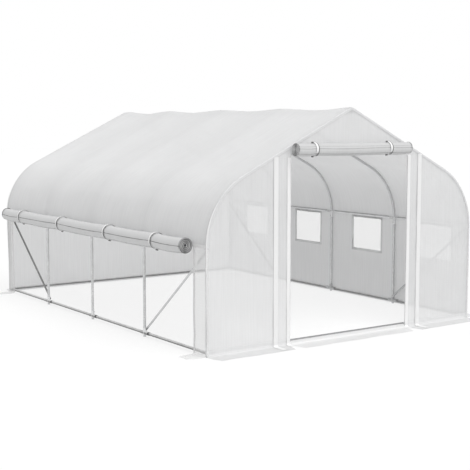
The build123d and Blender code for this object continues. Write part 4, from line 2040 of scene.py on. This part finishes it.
@dataclass
class Roll:
    """Sheet that is rolled up along a straight line and tied."""

    name: str
    start: Vector
    way: Vector
    inner: Vector
    length: float
    radius: float
    sheet_length: float
    tie_shares: tuple[float, ...]
    seed: int
    pinch: float = 0.03
    sag: float = 0.006
    layer: float = 0.002
    core: float = 0.12
    pinch_width: float = 0.03
    spacing: float = 0.04
    crease_angles: tuple[float, ...] = (3.0,)
    crease_depth: float = 0.07
    flats: int = 7
    flat_depth: float = 0.012
    outer_turn: float = 7.2
    groove_width: float = 0.07
    line_width: float = 0.055
    core_share: float = 0.17
    face_share: float = 0.96
    tie_thickness: float = 0.0016
    tie_lap: float = 0.25
    toggle_radius: float = 0.0055
    toggle_proud: float = 0.0045

    @property
    def marks(self) -> list[float]:
        """Both ends and the ties, as distances along the roll."""
        return [0.0, *[share * self.length for share in sorted(self.tie_shares)], self.length]

    @property
    def turns(self) -> float:
        """Turns that take up the sheet."""
        mean = self.radius * (1 + self.core) / 2
        return self.sheet_length / (math.tau * mean)

    def swell(self, along: Grid) -> Grid:
        """Share of the full radius at each distance along the roll, pinched at the ties.

        Args:
            along: Distances along the roll.

        Returns:
            Shares of the full radius.
        """
        size = np.ones(np.shape(along))
        for share in self.tie_shares:
            size = size - self.pinch * np.exp(-((along - share * self.length) / self.pinch_width) ** 2)
        for end in (0, self.length):
            size = size - 0.03 * np.exp(-((along - end) / 0.08) ** 2)
        return size + Wrinkles(self.seed, 0.008, 0.6).height(along, along * 0)

    def drop(self, along: Grid) -> Grid:
        """How far the roll hangs below its line.

        Args:
            along: Distances along the roll.

        Returns:
            Depths.
        """
        share = np.zeros(np.shape(along))
        for low, high in zip(self.marks, self.marks[1:]):
            inside = (along >= low) & (along <= high)
            share = np.where(inside, np.sin(np.pi * (along - low) / (high - low)), share)
        return self.sag * share

    def at(self, angle: Grid, along: Grid, size: Grid) -> Grid:
        """Points round the roll.

        Args:
            angle: Angle from the inner side, downwards first.
            along: Distance along the roll.
            size: Distance from its middle.

        Returns:
            The points.
        """
        across = size * np.cos(angle)
        rise = -size * np.sin(angle) - self.drop(along)
        return grid(along, across, rise) @ np.array([self.way, self.inner, UP]) + np.array(self.start)

    def from_crease(self, angle: Grid, along: Grid) -> Grid:
        """Angle between each point round the roll and its nearest crease.

        Args:
            angle: Angles round the roll.
            along: Distances along the roll.

        Returns:
            Absolute angles, one row for each angle.
        """
        gaps = []
        for number, middle in enumerate(self.crease_angles):
            line = middle + Wrinkles(self.seed + 2 + number, 0.05, 0.8).height(along, along * 0)
            gaps.append(np.abs(angle[:, None] - line[None, :]))
        return np.min(gaps, axis=0)

    def sheet(self, finishes: Sequence[Material]) -> Piece:
        """The rolled sheet as a spiral with a thickness and a creased outer turn, with a painted dark line
        along each crease.

        Args:
            finishes: Materials of the sheet and of the painted shade along its creases.

        Returns:
            The sheet.
        """
        total = math.tau * self.turns
        fine = [middle + np.linspace(-0.24, 0.24, 25) for middle in self.crease_angles]
        coarse = [np.arange(0.35, self.outer_turn, 0.16), np.arange(self.outer_turn, total, 0.3)]
        angle = np.unique(np.concatenate([*coarse, *fine, [total]]))
        along = steps(self.marks, self.spacing)
        full = self.radius * (1 - (1 - self.core) * angle / total)
        depth = (full[:, None] / self.radius) ** 3
        lumps = Wrinkles(self.seed + 1, 0.012, 0.45, 0, 0.6).height(along[None, :], angle[:, None] * 0.3)
        flats = np.cos(angle[:, None] * self.flats + 0.6) * self.flat_depth
        off_line = self.from_crease(angle, along)
        groove = np.exp(-(off_line / self.groove_width) ** 2) * self.crease_depth
        size = full[:, None] * self.swell(along)[None, :] * (1 + (lumps + flats - groove) * depth)
        points = self.at(angle[:, None], along[None, :], size)
        reach = np.concatenate([[0.0], np.cumsum(np.diff(angle) * (full[1:] + full[:-1]) / 2)])
        weave = grid(reach[:, None], along)
        # Faces along a crease take the second finish, a darker one on the side and door rolls: painted
        # shade.
        on_line = (off_line[:-1, :-1] + off_line[1:, 1:]) / 2 < self.line_width
        cloth = Cloth(self.name)
        cloth.lay(points, weave, ~on_line)
        cloth.lay(points, weave, on_line, 1)
        piece = cloth.sew(finishes, weld=0.00001)
        apply_modifier(piece, "SOLIDIFY", thickness=self.layer, offset=-1.0)
        return piece

    def ends(self, finishes: Sequence[Material]) -> Piece:
        """Packed layers that show a little inside both ends, round a core, in dark finishes that paint the
        shade between the layers and in the hollow middle.

        Args:
            finishes: Materials of the layers and of the core, both painted shade.

        Returns:
            Both ends.
        """
        cloth = Cloth(f"{self.name}_ends")
        angle = np.linspace(0, math.tau, 49)[None, :]
        hand = -1 if self.way.cross(self.inner).z > 0 else 1
        for face, inwards in ((0.0, 1), (self.length, -1)):
            for low, high, finish in ((self.core_share, self.face_share, 0), (0.0, self.core_share, 1)):
                share = np.linspace(low, high, 33)[:, None]
                spiral = np.sin(math.tau * (share * self.turns * 1.6 + angle / math.tau))
                sunk = 0.005 + 0.0025 * spiral + 0.012 * np.clip(1 - share / 0.2, 0, 1)
                size = self.radius * self.swell(np.array([face])) * share
                points = self.at(angle, face + inwards * sunk, size)
                weave = grid(size, angle * size)
                order = slice(None, None, inwards * hand)
                cloth.lay(points[order], weave[order], None, finish)
        return cloth.sew(finishes, weld=0.00001)

    def toggles(self, angles: Sequence[float], shift: float, half: float, finish: Material) -> Piece:
        """Moulded toggles at the ends of each tie, against the roll.

        Args:
            angles: Where they sit round the roll.
            shift: How far they lie beside their ties.
            half: Half their length.
            finish: Their material.

        Returns:
            The toggles.
        """
        model = add_rod("toggle_model", -self.way * half, self.way * half, self.toggle_radius, 12)
        with edit_mode(model) as mesh:
            pick_faces(model, mesh, lambda face: len(face.verts) > 4)
            bpy.ops.mesh.inset(thickness=0.002, depth=0.0015, use_individual=True)
        places = np.array([share * self.length + shift for share in self.tie_shares])
        size = self.radius * self.swell(places) + self.toggle_proud
        spots = np.concatenate([self.at(np.full(len(places), angle), places, size) for angle in angles])
        piece = repeat(model, f"{self.name}_toggles", [Matrix.Translation(spot) for spot in spots])
        smooth(piece, 40)
        return settle(piece, Slot.PLASTIC, finish)

    def tie(self, name: str, share: float, width: float, finish: Material, start: float = -0.15) -> Piece:
        """Band round the roll.

        Args:
            name: Name of the piece.
            share: Its place as a share of the roll's length.
            width: Its width.
            finish: Its material.
            start: Angle at which it starts.

        Returns:
            The band.
        """
        angle = np.linspace(start, math.tau + self.tie_lap, 60)
        along = np.full(len(angle), share * self.length)
        size = self.radius * (self.swell(along) + 0.02) + 0.0008 * angle / math.tau
        path = self.at(angle, along, size)
        facing = unit(path - self.at(angle, along, size * 0))
        return ribbon(name, path, facing, width, self.tie_thickness, finish)


@dataclass
class RolledSides(Assembly):
    """The rolled up left side and the rolled up door, with their ties."""

    side_sheet: float = 1.06
    door_sheet: float = 1.64
    tie_width: float = 0.03
    strap_width: float = 0.02
    strap_start: float = 2.6
    loop_width: float = 0.009
    side_share: float = 0.985
    door_share: float = 0.93
    door_hang: float = 1.02
    side_places: tuple[float, ...] = (-0.373, -0.145, 0.123, 0.378)
    door_places: tuple[float, ...] = (-0.349, 0.301)

    def build(self) -> list[Piece]:
        """Build both rolls.

        Returns:
            The pieces.
        """
        low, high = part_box("side_roll")
        middle = (low + high) / 2
        side_ties = self.tie_shares("side_roll_ties", low.y, high.y, 1, self.side_places)
        radius = (high.z - low.z) / 2 * self.side_share
        side = Roll("side_roll_sheet", Vector((middle.x, low.y, middle.z)), Vector((0, 1, 0)),
                    Vector((1, 0, 0)), high.y - low.y, radius, self.side_sheet, side_ties, 91,
                    crease_angles=(3.15, 2.12))
        made = self.finish_roll(side, "side_roll", "side_roll_ties", self.side_sheet)
        low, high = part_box("door_roll")
        middle = (low + high) / 2
        door_ties = self.tie_shares("door_roll_ties", low.x, high.x, 0, self.door_places)
        radius = (high.z - low.z) / 2 * self.door_share
        centre = Vector((low.x, middle.y, high.z - radius * self.door_hang))
        door = Roll("door_roll_sheet", centre, Vector((1, 0, 0)),
                    Vector((0, 1, 0)), high.x - low.x, radius, self.door_sheet, door_ties, 97,
                    layer=0.0016, sag=0.004, spacing=0.025, crease_angles=(3.23, 3.61, 2.34),
                    crease_depth=0.05)
        return made + self.finish_roll(door, "door_roll", "door_roll_ties", self.door_sheet)

    def tie_shares(self, node: str, low: float, high: float, axis: int,
                   rough: Sequence[float]) -> tuple[float, ...]:
        """Places of the ties along a roll, from the CAD ties.

        Args:
            node: CAD node of the ties.
            low: Start of the roll.
            high: End of the roll.
            axis: Axis along the roll.
            rough: About where they are, from the middle of the roll.

        Returns:
            Shares of the roll's length.
        """
        tie_low, tie_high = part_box(node)
        first = (tie_low[axis] + self.tie_width / 2 - low) / (high - low)
        last = (tie_high[axis] - self.tie_width / 2 - low) / (high - low)
        spread = [(share - rough[0]) / (rough[-1] - rough[0]) for share in rough]
        return tuple(first + (last - first) * share for share in spread)

    def finish_roll(self, roll: Roll, node: str, tie_node: str, sheet: float) -> list[Piece]:
        """Sheet of one roll with its ties, each a white strap with a dark elastic loop and a toggle; the
        loop also stands in for the strap's shadow line, as painted shade.

        Args:
            roll: The roll.
            node: CAD node of its sheet.
            tie_node: CAD node of its ties.
            sheet: Length of sheet that is rolled up; not used.

        Returns:
            The pieces.
        """
        is_side = node == "side_roll"
        # The crease finish is darker than the sheet: painted shade along the crease lines.
        crease = self.finishes.painted_layer_shade if is_side else self.finishes.crease
        sheet_finish = self.finishes.rolled if is_side else self.finishes.rolled_door
        piece = roll.sheet([sheet_finish, crease])
        settle(piece, Slot.COVER, None, node)
        # The ends take dark finishes: painted shade between the layers and in the core.
        ends = settle(roll.ends([self.finishes.painted_layer_shade, self.finishes.black]), Slot.COVER, None)
        # Each dark loop lies on the side of its strap where the shadow line falls: partly a real loop,
        # partly painted shade.
        beside = (self.strap_width + self.loop_width) / 2 / roll.length * (-1 if is_side else 1)
        ties = []
        for share in roll.tie_shares:
            ties.append(roll.tie("strap_model", share, self.strap_width, self.finishes.tie,
                                 self.strap_start))
            ties.append(roll.tie("loop_model", share + beside, self.loop_width, self.finishes.toggle))
        band = settle(join(ties, f"{tie_node}_tape"), Slot.WEBBING, None, tie_node)
        places = ((1.95,), -0.06, 0.014) if is_side else ((1.75, 4.5), -0.022, 0.009)
        toggles = roll.toggles(*places, self.finishes.toggle)
        return [piece, ends, band, toggles]


@dataclass
class DoorwayTrim(Assembly):
    """White bands over the door posts and zips beside the doorway."""

    thickness: float = 0.0016
    tail: float = 0.12
    zip_tail: float = 0.4
    bend: float = 0.018
    rest: float = 0.006
    roof_gap: float = 0.012
    zip_gap: float = 0.003
    stand_off: float = 0.0012
    proud: float = 0.0015
    tooth_taper: float = 0.55
    tooth_inset: float = 0.006
    tooth_proud: float = 0.0045
    tooth_foot: float = 0.045
    tooth_clear: float = 0.06
    tooth_pitch: float = 0.004
    tooth: Triple = (0.0055, 0.0022, 0.0018)

    def build(self) -> list[Piece]:
        """Build bands and zips on both sides of the doorway."""
        return [self.bands(), self.zips(), self.teeth()]

    def upright(self, x: float, top: float, tail: float) -> tuple[Grid, Grid]:
        """Path down the front and out over the ground flap.

        Args:
            x: Place across the doorway end.
            top: Where it starts.
            tail: How far it lies on the ground.

        Returns:
            Points and facings.
        """
        face = -self.form.end - self.stand_off
        bend = self.bend
        down = np.linspace(top, bend + self.rest, 60)
        angles = np.linspace(0, math.pi / 2, 7)[1:]
        out = np.linspace(0, tail, 6)[1:]
        sway = Wrinkles(113, 0.0012, 0.5).height(down, down * 0)
        y = np.concatenate([face - self.proud + sway, face - bend * (1 - np.cos(angles)),
                            face - bend - out])
        z = np.concatenate([down, bend * (1 - np.sin(angles)) + self.rest, np.full(len(out), self.rest)])
        face_y = np.concatenate([-np.ones(len(down)), -np.cos(angles), np.zeros(len(out))])
        face_z = np.concatenate([np.zeros(len(down)), np.sin(angles), np.ones(len(out))])
        return grid(x, y, z), grid(0.0, face_y, face_z)

    def pair(self, name: str, node: str, paths: Sequence[tuple[Grid, Grid]], width: float,
             finish: Material) -> Piece:
        """Tapes at both sides of the doorway.

        Args:
            name: Name of the piece.
            node: CAD node that it stands for.
            paths: Points and facings of each tape.
            width: Width of the tapes.
            finish: Their material.

        Returns:
            The joined tapes.
        """
        made = [ribbon("tape", *path, width, self.thickness, finish) for path in paths]
        return settle(join(made, name), Slot.WEBBING, None, node)

    def bands(self) -> Piece:
        """Wide white bands from the roof to the ground.

        Returns:
            The piece.
        """
        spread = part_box("door_posts")[1].x - self.form.tube
        width = 2 * (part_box("door_bands")[1].x - spread)
        top = float(self.form.ridge - (spread + width / 2) * math.tan(self.form.pitch)) - self.roof_gap
        paths = [self.upright(side.value * spread, top, self.tail) for side in Side]
        return self.pair("doorway_bands", "door_bands", paths, width, self.finishes.band)

    def zips(self) -> Piece:
        """Zip tapes down both edges of the doorway.

        Returns:
            The piece.
        """
        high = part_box("door_zips")[1]
        width = high.x - self.form.door_half - self.zip_gap
        x = high.x - width / 2
        paths = [self.upright(side.value * x, high.z, self.tail * self.zip_tail) for side in Side]
        return self.pair("doorway_zip_tapes", "door_zips", paths, width, self.finishes.zip_tape)

    def teeth(self) -> Piece:
        """Rows of moulded teeth along the tapes.

        Returns:
            The piece.
        """
        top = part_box("door_zips")[1].z
        deselect()
        bpy.ops.mesh.primitive_cube_add(size=1, location=(0, 0, 0))
        tooth = bpy.context.active_object
        tooth.scale = self.tooth
        bpy.ops.object.transform_apply(location=True, rotation=True, scale=True)
        with edit_mode(tooth) as mesh:
            pick_faces(tooth, mesh, lambda face: face.normal.x < -0.5)
            bpy.ops.transform.resize(value=(1, 1, self.tooth_taper))
        count = int((top - self.tooth_clear) / self.tooth_pitch)
        apply_modifier(tooth, "ARRAY", count=count, use_relative_offset=False, use_constant_offset=True,
                       constant_offset_displace=(0, 0, self.tooth_pitch))
        moves = []
        for side in Side:
            x = side.value * (self.form.door_half + self.tooth_inset)
            shift = Matrix.Translation((x, -self.form.end - self.tooth_proud, self.tooth_foot))
            moves.append(shift @ Matrix.Diagonal((side.value, 1, 1, 1)))
        rows = repeat(tooth, "doorway_zip_teeth", moves)
        return settle(rows, Slot.WEBBING, self.finishes.zip_teeth)


# Stage


@dataclass(frozen=True)
class Stage:
    """Camera, floor and soft light."""

    eye: Triple = (-5.8518, -8.6339, 1.8280)
    yaw: float = math.radians(34.902)
    tilt: float = math.radians(-6.085)
    lens: float = 78.09
    sensor: float = 36.0
    ambient: float = 0.64
    floor_colour: Colour = neutral(0.65)
    floor_shade: Colour = neutral(0.22)
    floor_glow: float = 0.77
    sun_way: Triple = (0.0, -0.6, 0.8)
    sun_power: float = 1.85
    sun_angle: float = math.radians(50)

    def build(self) -> None:
        """Set the camera, the world, the floor and the lamps."""
        scene = bpy.context.scene
        scene.view_settings.view_transform = "Standard"
        self.camera()
        self.world()
        self.floor()
        self.sun()

    def camera(self) -> None:
        """Camera at the photograph's view."""
        data = bpy.data.cameras.new("photo_view")
        data.lens = self.lens
        data.sensor_width = self.sensor
        data.clip_end = 200
        camera = bpy.data.objects.new("photo_view", data)
        camera.location = self.eye
        camera.rotation_euler = (math.pi / 2 + self.tilt, 0, -self.yaw)
        bpy.context.scene.collection.objects.link(camera)
        bpy.context.scene.camera = camera

    def seen(self, shader: Shader) -> Socket:
        """Socket that is 1 for rays that see the backdrop, also in metal and through mesh.

        Args:
            shader: Node tree to add to.

        Returns:
            The socket.
        """
        path = shader.node("LightPath").outputs
        seen = shader.math("MAXIMUM", path["Is Camera Ray"], path["Is Glossy Ray"])
        return shader.math("MAXIMUM", seen, path["Is Transmission Ray"])

    def world(self) -> None:
        """White backdrop with a plain level of light."""
        world = bpy.data.worlds.new("studio")
        bpy.context.scene.world = world
        shader = Shader(world)
        light = shader.node("Background", Color=WHITE, Strength=self.ambient).outputs[0]
        white = shader.node("Background", Color=WHITE, Strength=1.0).outputs[0]
        shader.node("OutputWorld", Surface=shader.mixed(self.seen(shader), light, white))

    def floor(self) -> None:
        """Pale floor that stays white but keeps the shadow."""
        deselect()
        bpy.ops.mesh.primitive_plane_add(size=120, location=(0, 0, -0.0005))
        floor = bpy.context.active_object
        floor.name = "studio_floor"
        shader = Shader(bpy.data.materials.new("studio_floor"))
        plain = shader.node("BsdfDiffuse", Color=(*self.floor_colour, 1)).outputs[0]
        glow = shader.node("Emission", Color=WHITE, Strength=self.floor_glow).outputs[0]
        shade = shader.node("BsdfDiffuse", Color=(*self.floor_shade, 1)).outputs[0]
        lit = shader.ordered("AddShader", (shade, glow))
        floor.data.materials.append(shader.done(shader.mixed(self.seen(shader), plain, lit)))

    def sun(self) -> None:
        """Wide soft sun, which lights the floor evenly up to the horizon."""
        data = bpy.data.lights.new("soft_sun", "SUN")
        data.energy = self.sun_power
        data.angle = self.sun_angle
        lamp = bpy.data.objects.new("soft_sun", data)
        lamp.rotation_euler = Vector(self.sun_way).to_track_quat("Z", "Y").to_euler()
        bpy.context.scene.collection.objects.link(lamp)


def main() -> None:
    """Build the tunnel's looks in order."""
    logging.basicConfig(level=logging.INFO, format="%(name)s %(message)s")
    Stage().build()
    form = TunnelForm.read()
    finishes = Finishes()
    pieces: list[Piece] = []
    for part in (TubeFrame, Fittings, CoverSheets, Windows, RolledSides, DoorwayTrim):
        pieces += part(form, finishes).build()
    log.info("%d pieces", len(pieces))


if __name__ == "__main__":
    main()
